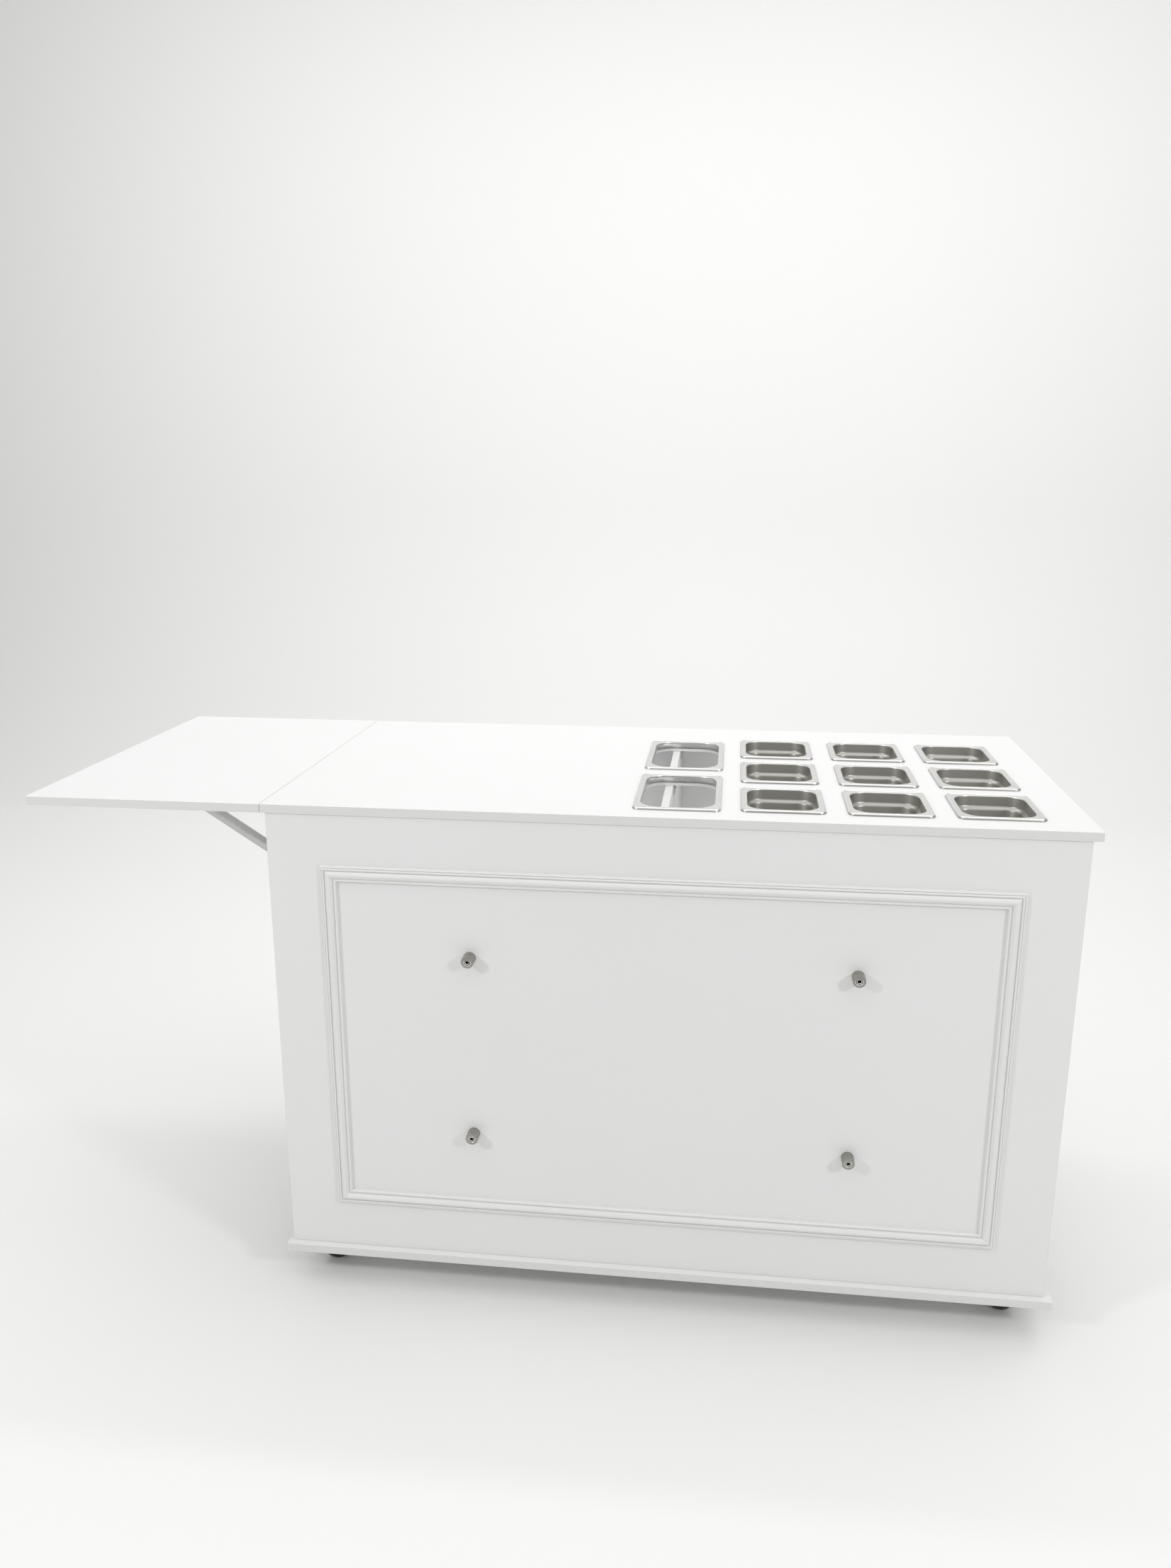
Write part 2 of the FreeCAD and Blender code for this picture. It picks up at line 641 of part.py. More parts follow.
def caster_wheel():
    """Hub and tread in one, turned about Z."""
    half, rim = "wheel_width / 2", "tread_inner_radius"
    face = f"{half} - tread_bevel"
    return turned("caster_wheel_master", [
        ("axle_radius + running_fit", f"-({half})"),
        ("hub_radius", f"-({half})"), ("hub_radius", f"-({face})"),
        (rim, f"-({face})"), (rim, f"-({half})"),
        ("wheel_radius - tread_bevel", f"-({half})"), ("wheel_radius", f"-({half}) / 2"),
        ("wheel_radius", f"({half}) / 2"), ("wheel_radius - tread_bevel", half),
        (rim, half), (rim, face), ("hub_radius", face), ("hub_radius", half),
        ("axle_radius + running_fit", half),
    ])


def caster_axle():
    """A headed axle with its nut, along Y through the fork's legs."""
    half = "fork_width / 2"
    shaft = rod("axle_shaft", ("0", f"-({half})", "0"), "axle_radius", "fork_width", "y")
    head = rod("axle_head", ("0", f"-({half}) - axle_head_height", "0"), "axle_head_radius",
               "axle_head_height", "y")
    nut = rod("axle_nut", ("0", half, "0"), "axle_head_radius", "axle_nut_height", "y")
    return fuse("caster_axle_master", [shaft, head, nut])


plate, fork, wheel, axle = caster_plate(), caster_fork(), caster_wheel(), caster_axle()
plate_places, plates = [], []
for name, x, y, heading in CASTERS:
    out = "-" if heading == 0 else "+"
    plates.append(copy(f"plate_{name}", plate, x, y, "0"))
    node(copy(f"caster_fork_{name}", fork, x, y, "0", (0, 0, 1), heading))
    axle_x = f"{x} {out} caster_trail"
    node(copy(f"caster_axle_{name}", axle, axle_x, y, "wheel_radius"))
    node(copy(f"caster_wheel_{name}", wheel, axle_x, y, "wheel_radius", (1, 0, 0), 90))
    for sign_x in "+-":
        for sign_y in "+-":
            plate_places.append((
                f"{x} {sign_x} (plate_length / 2 - plate_hole_inset)",
                f"{y} {sign_y} (plate_width / 2 - plate_hole_inset)",
                "caster_height - plate_thickness", "+z"))
plate_screws = screws("caster_plate_screws", plate_places)
node(cut("caster_plates", group("plate_set", plates), [plate_screws]))


# ---------------------------------------------------------------- pans and rims

def flange_shell(name, length, width, corner):
    """A flange frame: a rolled border round a lower step, hollow underneath."""
    block = padded(f"{name}_block", "XY_Plane", rounded_rectangle(length, width, corner),
                   "flange_height")
    rounded(block, "flange_rounding", at_height("flange_height"))
    step_low = "flange_height - flange_step"
    step = padded(f"{name}_step", "XY_Plane", rounded_rectangle(
        f"{length} - 2 * flange_border", f"{width} - 2 * flange_border",
        f"{corner} - flange_border"), "2 * flange_step")
    place(step, "0", "0", step_low)
    hollow = padded(f"{name}_hollow", "XY_Plane", rounded_rectangle(
        f"{length} - flange_rounding", f"{width} - flange_rounding",
        f"{corner} - flange_rounding / 2"), f"{step_low} - sheet_steel")
    return cut(f"{name}_flange", block, [step, hollow])


def well(name, length, width, corner, depth, taper=None, foot=None):
    """A well that starts at the flange and reaches depth below the worktop's top."""
    height = f"{depth} + flange_height - flange_step"
    body = padded(name, "XY_Plane", rounded_rectangle(length, width, corner), height,
                  reverse=True, taper=taper)
    if foot:
        rounded(body, foot, at_height(f"-({height})"))
    return place(body, "0", "0", "flange_height - flange_step")


def pan_wells(name, spare):
    """A pan's two wells, the lower one inside the upper one's stacking shoulder. spare is
    what their outsides stand off their insides."""
    length = f"pan_length - 2 * flange + 2 * {spare}"
    width = f"pan_width - 2 * flange + 2 * {spare}"
    upper = well(f"{name}_upper", length, width, f"pan_mouth_corner + {spare}",
                 f"pan_ledge_depth + {spare}", foot=f"pan_ledge_rounding + {spare}")
    lower = well(f"{name}_lower", f"{length} - 2 * pan_ledge", f"{width} - 2 * pan_ledge",
                 f"pan_mouth_corner - pan_ledge + {spare}", f"pan_depth - sheet_steel + {spare}",
                 "pan_taper", f"pan_foot_rounding + {spare}")
    return [upper, lower]


def pan_master():
    flange = flange_shell("pan", "pan_length", "pan_width", "pan_corner")
    solid = fuse("pan_solid", [flange, *pan_wells("pan_outer", "sheet_steel")])
    return cut("pan_master", solid, pan_wells("pan_inner", "0"))


def rim_master():
    length, width = "rim_length - 2 * flange", "rim_width - 2 * flange"
    outer = well("rim_outer", f"{length} + 2 * sheet_steel", f"{width} + 2 * sheet_steel",
                 "rim_mouth_corner + sheet_steel", "rim_collar")
    inner = well("rim_inner", length, width, "rim_mouth_corner", "2 * rim_collar")
    flange = flange_shell("rim", "rim_length", "rim_width", "pan_corner")
    return cut("rim_master", fuse("rim_solid", [flange, outer]), [inner])


def hole_cutter(name, length, width, corner):
    """Cuts the worktop for a well of this outer size, with play all round."""
    return padded(name, "XY_Plane", rounded_rectangle(
        f"{length} + 2 * (sheet_steel + cutout_play)", f"{width} + 2 * (sheet_steel + cutout_play)",
        f"{corner} + sheet_steel + cutout_play"), "3 * worktop_thickness", both_ways=True)


pan, open_rim = pan_master(), rim_master()
pan_hole = hole_cutter("pan_hole", "pan_length - 2 * flange", "pan_width - 2 * flange",
                       "pan_mouth_corner")
rim_hole = hole_cutter("rim_hole", "rim_length - 2 * flange", "rim_width - 2 * flange",
                       "rim_mouth_corner")
holes = []
for row, row_name in enumerate(("front", "middle", "rear")):
    for column, column_name in enumerate(("left", "centre", "right")):
        name = f"{row_name}_{column_name}"
        x = f"seam_x + pan_columns_x + {column} * pan_pitch_x + pan_length / 2"
        y = f"front_y + pan_rows_y + {row} * pan_pitch_y + pan_width / 2"
        node(copy(f"pan_{name}", pan, x, y, "top"))
        holes.append(copy(f"hole_{name}", pan_hole, x, y, "top"))
for row, name in enumerate(("front", "rear")):
    x = "seam_x + rim_column_x + rim_length / 2"
    y = f"front_y + rim_row_y + {row} * rim_pitch_y + rim_width / 2"
    node(copy(f"opening_rim_{name}", open_rim, x, y, "top"))
    holes.append(copy(f"rim_hole_{name}", rim_hole, x, y, "top"))


# ---------------------------------------------------------------- sign standoffs

def standoff_masters():
    """Barrel, threaded insert and nut, turned about Z with the panel's face at z = 0."""
    seat = "standoff_length - insert_depth"
    fit = "insert_radius + pivot_play"
    barrel = turned("barrel_master", [
        ("stem_radius + pivot_play", "0"), ("standoff_radius", "0"),
        ("standoff_radius", "standoff_length - standoff_bevel"),
        ("standoff_radius - standoff_bevel", "standoff_length"), (fit, "standoff_length"),
        (fit, seat), ("stem_radius + pivot_play", seat),
    ])
    dip = "standoff_length - ring_groove_depth"
    floor = "standoff_length - thread_depth"
    insert = turned("insert_master", [
        ("0", "-(board + stem_reach)"), ("stem_radius", "-(board + stem_reach)"),
        ("stem_radius", seat), ("insert_radius", seat), ("insert_radius", "standoff_length"),
        ("ring_groove_outer", "standoff_length"), ("ring_groove_outer", dip),
        ("ring_groove_inner", dip), ("ring_groove_inner", "standoff_length"),
        ("thread_radius", "standoff_length"), ("thread_radius", floor), ("0", floor),
    ])
    across = "nut_flats / sqrt(3)"
    hexagon = [(f"{across} * {math.cos(math.radians(60 * turn)):.6f}",
                f"{across} * {math.sin(math.radians(60 * turn)):.6f}") for turn in range(6)]
    blank = padded("nut_blank", "XY_Plane", hexagon, "nut_height", reverse=True)
    place(blank, "0", "0", "-board")
    bore = rod("nut_bore", ("0", "0", "-board - 2 * nut_height"), "stem_radius", "3 * nut_height")
    return barrel, insert, cut("nut_master", blank, [bore])


barrel, insert, nut = standoff_masters()
barrels, inserts, nuts, stem_holes = [], [], [], []
for side, x in (("left", "cabinet_middle - standoff_spacing_x / 2"),
                ("right", "cabinet_middle + standoff_spacing_x / 2")):
    for level, sign in (("lower", "-"), ("upper", "+")):
        z = f"base_top + (cabinet_height {sign} standoff_spacing_z) / 2"
        spot = (x, "panel_y", z, (1, 0, 0), 90)
        barrels.append(copy(f"barrel_{side}_{level}", barrel, *spot))
        inserts.append(copy(f"insert_{side}_{level}", insert, *spot))
        nuts.append(copy(f"nut_{side}_{level}", nut, *spot))
        stem_holes.append(rod(f"stem_hole_{side}_{level}", (x, "panel_y - cutter_spare", z),
                              "stem_radius + pivot_play", "board + 2 * cutter_spare", "y"))
node(group("standoff_barrels", barrels))
node(group("standoff_inserts", inserts))
node(group("standoff_nuts", nuts))


# ---------------------------------------------------------------- boards

blank = board("worktop_board", ("seam_x", "front_y", "underside"),
              ("worktop_length", "worktop_depth", "worktop_thickness"))
node(cut("worktop", blank, [*holes, fixing_screws]))
blank = board("leaf_board", ("seam_x - seam_gap - leaf_length", "front_y", "underside"),
              ("leaf_length", "worktop_depth", "worktop_thickness"))
node(cut("drop_leaf", blank, [arm_screws]))
blank = board("panel_board", ("cabinet_left", "panel_y", "base_top"),
              ("cabinet_length", "board", "cabinet_height"))
node(cut("front_panel", blank, stem_holes))

side_depth = "cabinet_rear - inside_y"
shelf_front = "inside_y + shelf_play"
shelf_depth = "track_y - inside_y - shelf_play - shelf_gap_rear"
pin_ys = ("inside_y + shelf_pin_inset", "track_y - shelf_pin_inset")
pin_z = "shelf_z - shelf_pin_radius"
shelf_pins = []
for board_name, x, length in (
        ("left", "inside_left - shelf_pin_length / 2", "shelf_pin_length"),
        ("middle", "partition_x - shelf_pin_length / 2", "board + shelf_pin_length"),
        ("right", "inside_right - shelf_pin_length / 2", "shelf_pin_length")):
    for number, y in enumerate(pin_ys, start=1):
        shelf_pins.append(rod(f"shelf_pin_{board_name}_{number}", (x, y, pin_z),
                              "shelf_pin_radius", length, "x"))
pin_group = node(group("shelf_pins", shelf_pins))

blank = board("left_board", ("cabinet_left", "inside_y", "base_top"),
              ("board", side_depth, "cabinet_height"))
node(cut("side_panel_left", blank, [pin_group, fixing_screws, leg_screws]))
blank = board("right_board", ("inside_right", "inside_y", "base_top"),
              ("board", side_depth, "cabinet_height"))
node(cut("side_panel_right", blank, [pin_group, fixing_screws]))
blank = board("partition_board", ("partition_x", "inside_y", "base_top"),
              ("board", "track_y - inside_y", "cabinet_height"))
node(cut("centre_partition", blank, [pin_group, fixing_screws]))

node(board("shelf_left", ("inside_left + shelf_play", shelf_front, "shelf_z"),
           ("partition_x - inside_left - 2 * shelf_play", shelf_depth, "board")))
node(board("shelf_right", ("partition_x + board + shelf_play", shelf_front, "shelf_z"),
           ("inside_right - partition_x - board - 2 * shelf_play", shelf_depth, "board")))

base_size = ("base_right - base_left", "cabinet_rear - base_front", "base_thickness")
base = padded("base_blank", "XY_Plane", rectangle("0", "0", *base_size[:2]), base_size[2])
rounded(base, "base_corner", upright)
rounded(base, "edge_rounding", lambda edge: not upright(edge))
place(base, "base_left", "base_front", "caster_height")
node(cut("base_board", base, [fixing_screws, plate_screws]))


# ---------------------------------------------------------------- front moulding

def moulding_section():
    """The strip's section as (y, z): z runs inwards from the outer edge, y off the panel.
    Two reeds, a groove, a broad swell with a hollow flank, a groove and an inner bead."""
    back, low = "-moulding_back", "-(moulding_back + reed)"
    quirk = "-(moulding_back + reed / 2)"
    reeds = "4 * reed"
    swell = f"{reeds} + groove"
    bead_start = "moulding_width - 2 * bead - groove / 2"
    swell_end = f"{bead_start} - groove"
    crest = "-moulding_relief"
    crest_at = f"({swell} + {swell_end}) / 2 - groove / 2"
    return [
        ("0", "0"), (back, "0", "reed", 1), (low, "-reed", "reed", 1), (back, "-2 * reed"),
        (low, "-2 * reed", "reed", 1), (f"{low} - reed", "-3 * reed", "reed", 1),
        (low, f"-({reeds})"), (quirk, f"-({reeds})"), (quirk, f"-({swell})"),
        (f"{low} - reed / 2", f"-({swell})", "1.1 * moulding_relief", 1),
        (crest, f"-({crest_at})", "0.75 * moulding_relief", 1),
        (f"({crest} + {low}) / 2", f"-({swell_end} - 1.5 * groove)", "moulding_relief", -1),
        (low, f"-({swell_end})"), (back, f"-({swell_end})"), (back, f"-({bead_start})", "bead", 1),
        (f"{back} - bead", f"-({bead_start} + bead)", "bead", 1),
        (back, f"-({bead_start} + 2 * bead)"), ("-bead", f"-({bead_start} + 2 * bead)"),
        ("-bead", "-moulding_width"), ("0", "-moulding_width"),
    ]


def moulding_strip(name, length):
    """One mitred strip: its outer edge runs along +X from the origin at z = 0."""
    section = padded(f"{name}_section", "YZ_Plane", moulding_section(), length)
    mitres = padded(f"{name}_mitres", "XZ_Plane", [
        ("0", "0"), ("moulding_width", "-moulding_width"),
        (f"{length} - moulding_width", "-moulding_width"), (length, "0"),
    ], "2 * moulding_relief")
    return common(name, section, mitres)


across_strip = moulding_strip("strip_across", "moulding_right - moulding_left")
upright_strip = moulding_strip("strip_upright", "moulding_top - moulding_bottom")
for name, strip, x, z, turn in (
        ("top", across_strip, "moulding_left", "moulding_top", 0),
        ("right", upright_strip, "moulding_right", "moulding_top", 90),
        ("bottom", across_strip, "moulding_right", "moulding_bottom", 180),
        ("left", upright_strip, "moulding_left", "moulding_bottom", -90)):
    node(copy(f"moulding_{name}", strip, x, "panel_y", z, (0, 1, 0), turn))


# ---------------------------------------------------------------- sliding doors

def track(name, lip, z, turn):
    """A track with two grooves, its floor on z = 0 and its ribs upwards before turning. The
    floor and the ribs are solids of their own, so the grooves stay open."""
    floor = box(f"{name}_floor", ("0", "0", "0"), ("inside_length", "track_depth", "track_rib"))
    ribs = [box(f"{name}_rib_{number}",
                ("0", f"{number} * (track_rib + track_groove)", "track_rib"),
                ("inside_length", "track_rib", f"{lip} - track_rib")) for number in range(3)]
    shift = "0" if turn == 0 else "track_depth"
    return node(place(group(name, [floor, *ribs]), "inside_left", f"track_y + {shift}", z,
                      (1, 0, 0), turn))


track("door_track_bottom", "track_lip_bottom", "base_top", 0)
track("door_track_top", "track_lip_top", "underside", 180)

cup_radius = "pull_radius - pivot_play"
pull = turned("pull_master", [
    ("0", "-pull_depth"), (cup_radius, "-pull_depth"), (cup_radius, "0"),
    ("pull_radius + pull_flange", "0"), ("pull_radius + pull_flange", "pull_sheet"),
    ("pull_radius - pull_sheet", "pull_sheet"),
    ("pull_radius - pull_sheet", "-pull_depth + pull_sheet"), ("0", "-pull_depth + pull_sheet"),
])
DOORS = (
    ("left", "inside_left + door_play", "track_y + 2 * track_rib + track_groove + door_play",
     "inside_left + door_play + pull_inset"),
    ("right", "inside_right - door_play - door_length", "track_y + track_rib + door_play",
     "inside_right - door_play - pull_inset"),
)
for name, x, y, pull_x in DOORS:
    blank = board(f"door_{name}_board", (x, y, "door_z"),
                  ("door_length", "door_thickness", "door_height"))
    face = f"{y} + door_thickness"
    pull_z = "door_z + pull_level * door_height"
    recess = rod(f"door_{name}_recess", (pull_x, f"{face} - pull_depth", pull_z), "pull_radius",
                 "2 * pull_depth", "y")
    node(cut(f"sliding_door_{name}", blank, [recess]))
    node(copy(f"door_pull_{name}", pull, pull_x, face, pull_z, (1, 0, 0), -90))


# ---------------------------------------------------------------- check and write

doc.recompute()
for thing in doc.Objects:
    if "Invalid" in thing.State or "Error" in thing.State:
        raise RuntimeError(f"{thing.Name} did not compute: {thing.State}")
os.makedirs("parts", exist_ok=True)
for piece in nodes:
    shape = piece.Shape
    if shape.isNull() or not shape.isValid() or not shape.Solids:
        raise RuntimeError(f"{piece.Label} has no valid solid")
    shape.exportStep(f"parts/{piece.Label}.step")
    bounds = shape.BoundBox
    print(f"{piece.Label:26s} {len(shape.Solids):3d} solids {shape.Volume / 1000:10.1f} cm3",
          f"x {bounds.XMin:.1f} {bounds.XMax:.1f} y {bounds.YMin:.1f} {bounds.YMax:.1f}",
          f"z {bounds.ZMin:.1f} {bounds.ZMax:.1f}")
print(len(nodes), "nodes")
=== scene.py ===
import math

import bmesh
import bpy
from mathutils import Matrix, Vector


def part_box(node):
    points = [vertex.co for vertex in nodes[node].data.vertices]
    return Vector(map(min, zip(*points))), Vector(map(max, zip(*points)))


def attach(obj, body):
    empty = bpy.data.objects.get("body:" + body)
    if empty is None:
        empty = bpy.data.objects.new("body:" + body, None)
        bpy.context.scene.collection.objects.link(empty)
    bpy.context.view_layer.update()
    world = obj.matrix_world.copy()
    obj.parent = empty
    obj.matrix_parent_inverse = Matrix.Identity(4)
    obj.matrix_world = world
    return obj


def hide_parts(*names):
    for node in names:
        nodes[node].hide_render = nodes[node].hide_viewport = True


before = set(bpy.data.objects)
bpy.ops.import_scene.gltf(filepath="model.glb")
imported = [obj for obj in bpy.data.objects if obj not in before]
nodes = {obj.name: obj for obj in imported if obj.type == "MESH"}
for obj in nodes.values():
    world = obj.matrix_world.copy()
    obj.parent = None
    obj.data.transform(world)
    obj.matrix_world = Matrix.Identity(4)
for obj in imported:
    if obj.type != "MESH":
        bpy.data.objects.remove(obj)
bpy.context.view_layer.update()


# ---- The camera -------------------------------------------------------------------
# A phone on eye level, in front of the counter and a little right of its middle, turned
# slightly left and tipped down. Its place was fitted to the counter's corners.

eye = Vector((0.3604, -2.5796, 1.7067))
turned_left, tipped_down = 0.1217, 0.2555
camera = bpy.data.objects.new("camera", bpy.data.cameras.new("camera"))
camera.location = eye
camera.rotation_euler = (math.pi / 2 - tipped_down, 0, turned_left)
camera.data.lens = 27.84
bpy.context.scene.collection.objects.link(camera)
bpy.context.scene.camera = camera


# ---- The studio -------------------------------------------------------------------
# A plain pale floor that sweeps up into a plain pale wall, lit by two small lights from the
# front left and the front right, wide soft ones over counter and wall, and the white room
# round them. A small light in each bay stands for the room's light through the open rims.

def shown(name, bm):
    """Turns a finished bmesh into an object in the scene, shaded smooth up to 35 degrees."""
    mesh = bpy.data.meshes.new(name)
    bm.to_mesh(mesh)
    bm.free()
    mesh.shade_smooth()
    mesh.set_sharp_from_angle(angle=math.radians(35))
    thing = bpy.data.objects.new(name, mesh)
    bpy.context.scene.collection.objects.link(thing)
    return thing


class Value:
    """A shader socket that can be written in arithmetic."""

    def __init__(self, finish, socket):
        self.finish, self.socket = finish, socket

    def maths(self, operation, *values):
        return self.finish.node("ShaderNodeMath", {"operation": operation}, *values)

    def __add__(self, other):
        return self.maths("ADD", self, other)

    def __mul__(self, other):
        return self.maths("MULTIPLY", self, other)

    __radd__, __rmul__ = __add__, __mul__


class Finish:
    """A material: its shader's plain sockets, and one method that adds any other node."""

    def __init__(self, name, **sockets):
        self.material = bpy.data.materials.new(name)
        self.material.use_nodes = True
        self.tree = self.material.node_tree
        self.shader = self.tree.nodes["Principled BSDF"]
        for socket, value in sockets.items():
            self.feed(self.shader.inputs[socket.replace("_", " ")], value)

    def feed(self, socket, value):
        if isinstance(value, Value):
            self.tree.links.new(value.socket, socket)
        else:
            socket.default_value = value

    def node(self, kind, settings=None, *values, out=0, **named):
        made = self.tree.nodes.new(kind)
        for name, value in (settings or {}).items():
            setattr(made, name, value)
        for index, value in enumerate(values):
            if value is not None:
                self.feed(made.inputs[index], value)
        for name, value in named.items():
            self.feed(made.inputs[name.replace("_", " ")], value)
        return Value(self, made.outputs[out])

    def mix(self, factor, first, second):
        """Goes from one colour to the other."""
        colour = {"data_type": "RGBA"}
        blanks = (None,) * 5
        return self.node("ShaderNodeMix", colour, factor, *blanks, first, second, out=2)

    def place(self):
        """The point on the surface, in metres in the counter's frame."""
        return self.node("ShaderNodeTexCoord", out=3)

    def noise(self, scale, detail=2.0, stretch=None, rough=0.5):
        """Soft noise from 0 to 1; stretch draws it out along an axis."""
        where = self.place()
        if stretch:
            where = self.node("ShaderNodeMapping", None, where, Scale=stretch)
        return self.node("ShaderNodeTexNoise", None, Vector=where, Scale=scale, Detail=detail,
                         Roughness=rough)

    def bump(self, height, distance, strength=1.0):
        self.feed(self.shader.inputs["Normal"], self.node(
            "ShaderNodeBump", None, Strength=strength, Distance=distance, Height=height))

    def on(self, socket, value):
        self.feed(self.shader.inputs[socket], value)
        return self


def floor_and_wall():
    """The sweep: a line over the floor, spun up through a quarter circle and on up the wall."""
    near, bend_start, bend_radius, wall_height, half_width = -7.0, 3.4, 1.5, 6.0, 9.0
    bm = bmesh.new()
    start = bm.verts.new((-half_width, near, 0))
    edge = bmesh.ops.extrude_vert_indiv(bm, verts=[start])
    tip = edge["verts"][0]
    tip.co.y = bend_start
    made = bmesh.ops.spin(bm, geom=[tip], cent=(0, bend_start, bend_radius), axis=(1, 0, 0),
                          angle=math.pi / 2, steps=24)
    last = [item for item in made["geom_last"] if isinstance(item, bmesh.types.BMVert)]
    top = bmesh.ops.extrude_vert_indiv(bm, verts=last)["verts"][0]
    top.co.z = wall_height
    made = bmesh.ops.extrude_edge_only(bm, edges=bm.edges[:])
    moved = [item for item in made["geom"] if isinstance(item, bmesh.types.BMVert)]
    bmesh.ops.translate(bm, vec=(2 * half_width, 0, 0), verts=moved)
    bmesh.ops.recalc_face_normals(bm, faces=bm.faces)
    bm.faces.ensure_lookup_table()
    if bm.faces[0].normal.z < 0:
        bmesh.ops.reverse_faces(bm, faces=bm.faces)
    return shown("studio_floor", bm)


studio = Finish("studio_floor", Roughness=0.6)
studio.on("Base Color", studio.mix(studio.noise(0.6), (0.915, 0.915, 0.91, 1),
                                   (0.90, 0.90, 0.895, 1)))
floor = floor_and_wall()
floor.data.materials.append(studio.material)

def lit(kind, name, stand, watts):
    """A light that the camera doesn't see itself."""
    lamp = bpy.data.lights.new(name, kind)
    lamp.energy = watts
    light = bpy.data.objects.new(name, lamp)
    light.location = stand
    light.visible_camera = False
    bpy.context.scene.collection.objects.link(light)
    return light


for name, stand, target, width, depth, watts in (
        ("key_left", (-2.35, -2.55, 2.5), (0.24, -0.39, 0.5), 0.4, 0.4, 27.5),
        ("key_right", (2.85, -2.55, 2.5), (0.24, -0.39, 0.5), 0.4, 0.4, 28.5),
        ("ceiling_light", (0.3, -0.4, 4.6), (0.3, -0.4, 0.0), 7.0, 6.0, 126),
        ("wall_light", (0.2, 1.3, 4.8), (0.2, 4.9, 1.8), 8.0, 1.0, 108)):
    light = lit("AREA", name, stand, watts)
    light.data.shape, light.data.size, light.data.size_y = "RECTANGLE", width, depth
    light.rotation_euler = (Vector(target) - light.location).to_track_quat("-Z", "Y").to_euler()

for name, stand in (("left_bay_light", (-0.15, 0.0, 0.8)), ("right_bay_light", (0.62, 0.0, 0.8))):
    lit("POINT", name, stand, watts=1.5).data.shadow_soft_size = 0.15

room = bpy.data.worlds.new("room")
room.use_nodes = True
white_walls = room.node_tree.nodes["Background"].inputs
white_walls["Color"].default_value = (1, 1, 0.99, 1)
white_walls["Strength"].default_value = 0.36
bpy.context.scene.world = room
bpy.context.scene.view_settings.view_transform = "Standard"


# ---- The boards -------------------------------------------------------------------
# White melamine-faced chipboard, 16 and 18 mm thick, with a plastic band about 1 mm thick
# glued round its edges. The worktop has eleven cut-outs and meets the drop leaf at a plain
# butt seam.

def dress(finish, *names):
    """Gives CAD nodes a finish."""
    for name in names:
        for place in nodes[name].material_slots:
            place.material = finish.material


def melamine(name, along):
    """Board finish. The band is a little greyer than the face and meets it at a hairline of
    glue. along names the two axes across which this board is banded."""
    band, hairline = 0.0012, 0.00012
    low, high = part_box(name)
    board = Finish(f"melamine_{name}", IOR=1.5, Coat_Weight=0.15, Coat_Roughness=0.2)
    split = board.node("ShaderNodeSeparateXYZ", None, board.place())
    line = edging = 0
    for axis in ("XYZ".index(letter) for letter in along):
        here = Value(board, split.socket.node.outputs[axis])
        for edge, inwards in ((low[axis], 1), (high[axis], -1)):
            on_edge = here.maths("COMPARE", here, edge, hairline)
            edging = here.maths("MAXIMUM", edging, on_edge)
            line = here.maths("COMPARE", here, edge + inwards * band, hairline) + line
    face = board.mix(board.noise(3.5), (0.85, 0.853, 0.85, 1), (0.835, 0.838, 0.832, 1))
    tone = board.mix(edging, face, (0.765, 0.765, 0.75, 1))
    board.on("Base Color", board.mix(line, tone, (0.74, 0.735, 0.71, 1)))
    pearl = board.noise(900, detail=1.0)
    board.on("Roughness", 0.36 + board.noise(7) * 0.1 + pearl * 0.06)
    board.bump(pearl, distance=0.00006, strength=0.35)
    return board


for name, along in (
        ("worktop", "XY"), ("drop_leaf", "XY"), ("base_board", "XY"), ("shelf_left", "XY"),
        ("shelf_right", "XY"), ("front_panel", "XZ"), ("side_panel_left", "YZ"),
        ("side_panel_right", "YZ"), ("centre_partition", "YZ"), ("sliding_door_left", "XZ"),
        ("sliding_door_right", "XZ")):
    dress(melamine(name, along), name)


# ---- The picture-frame moulding ---------------------------------------------------
# Four lengths of lacquered wood moulding, mitred at the corners, glued and pinned on the
# front panel.

lacquer = Finish("white_lacquer", IOR=1.5, Coat_Weight=0.3, Coat_Roughness=0.15)
lacquer.on("Base Color", lacquer.mix(lacquer.noise(5), (0.85, 0.85, 0.845, 1),
                                     (0.83, 0.83, 0.822, 1)))
flow = lacquer.noise(260, detail=3.0)
lacquer.on("Roughness", 0.32 + flow * 0.12).bump(flow, distance=0.0001, strength=0.3)
dress(lacquer, "moulding_top", "moulding_right", "moulding_bottom", "moulding_left")


# ---- The food pans and the open rims ----------------------------------------------
# Pressed stainless steel, 1 mm thick. Nine sixth-size pans hang in the cut-outs on a flange
# with a rolled border, and step in at a stacking shoulder. The two rims have the same
# flange round an open collar.

def rounded_outline(bm, length, width, corner, height, steps):
    """A closed ring of edges round the origin: a rectangle with its corners bevelled."""
    corners = bmesh.ops.create_grid(bm, x_segments=1, y_segments=1, size=0.5)["verts"]
    bmesh.ops.scale(bm, vec=(length, width, 1), verts=corners)
    bmesh.ops.translate(bm, vec=(0, 0, height), verts=corners)
    made = bmesh.ops.bevel(bm, geom=corners, offset=corner, offset_type="OFFSET",
                           segments=steps, profile=0.5, affect="VERTICES", material=-1)
    face = made["verts"][0].link_faces[0]
    edges = face.edges[:]
    bmesh.ops.delete(bm, geom=[face], context="FACES_ONLY")
    return edges


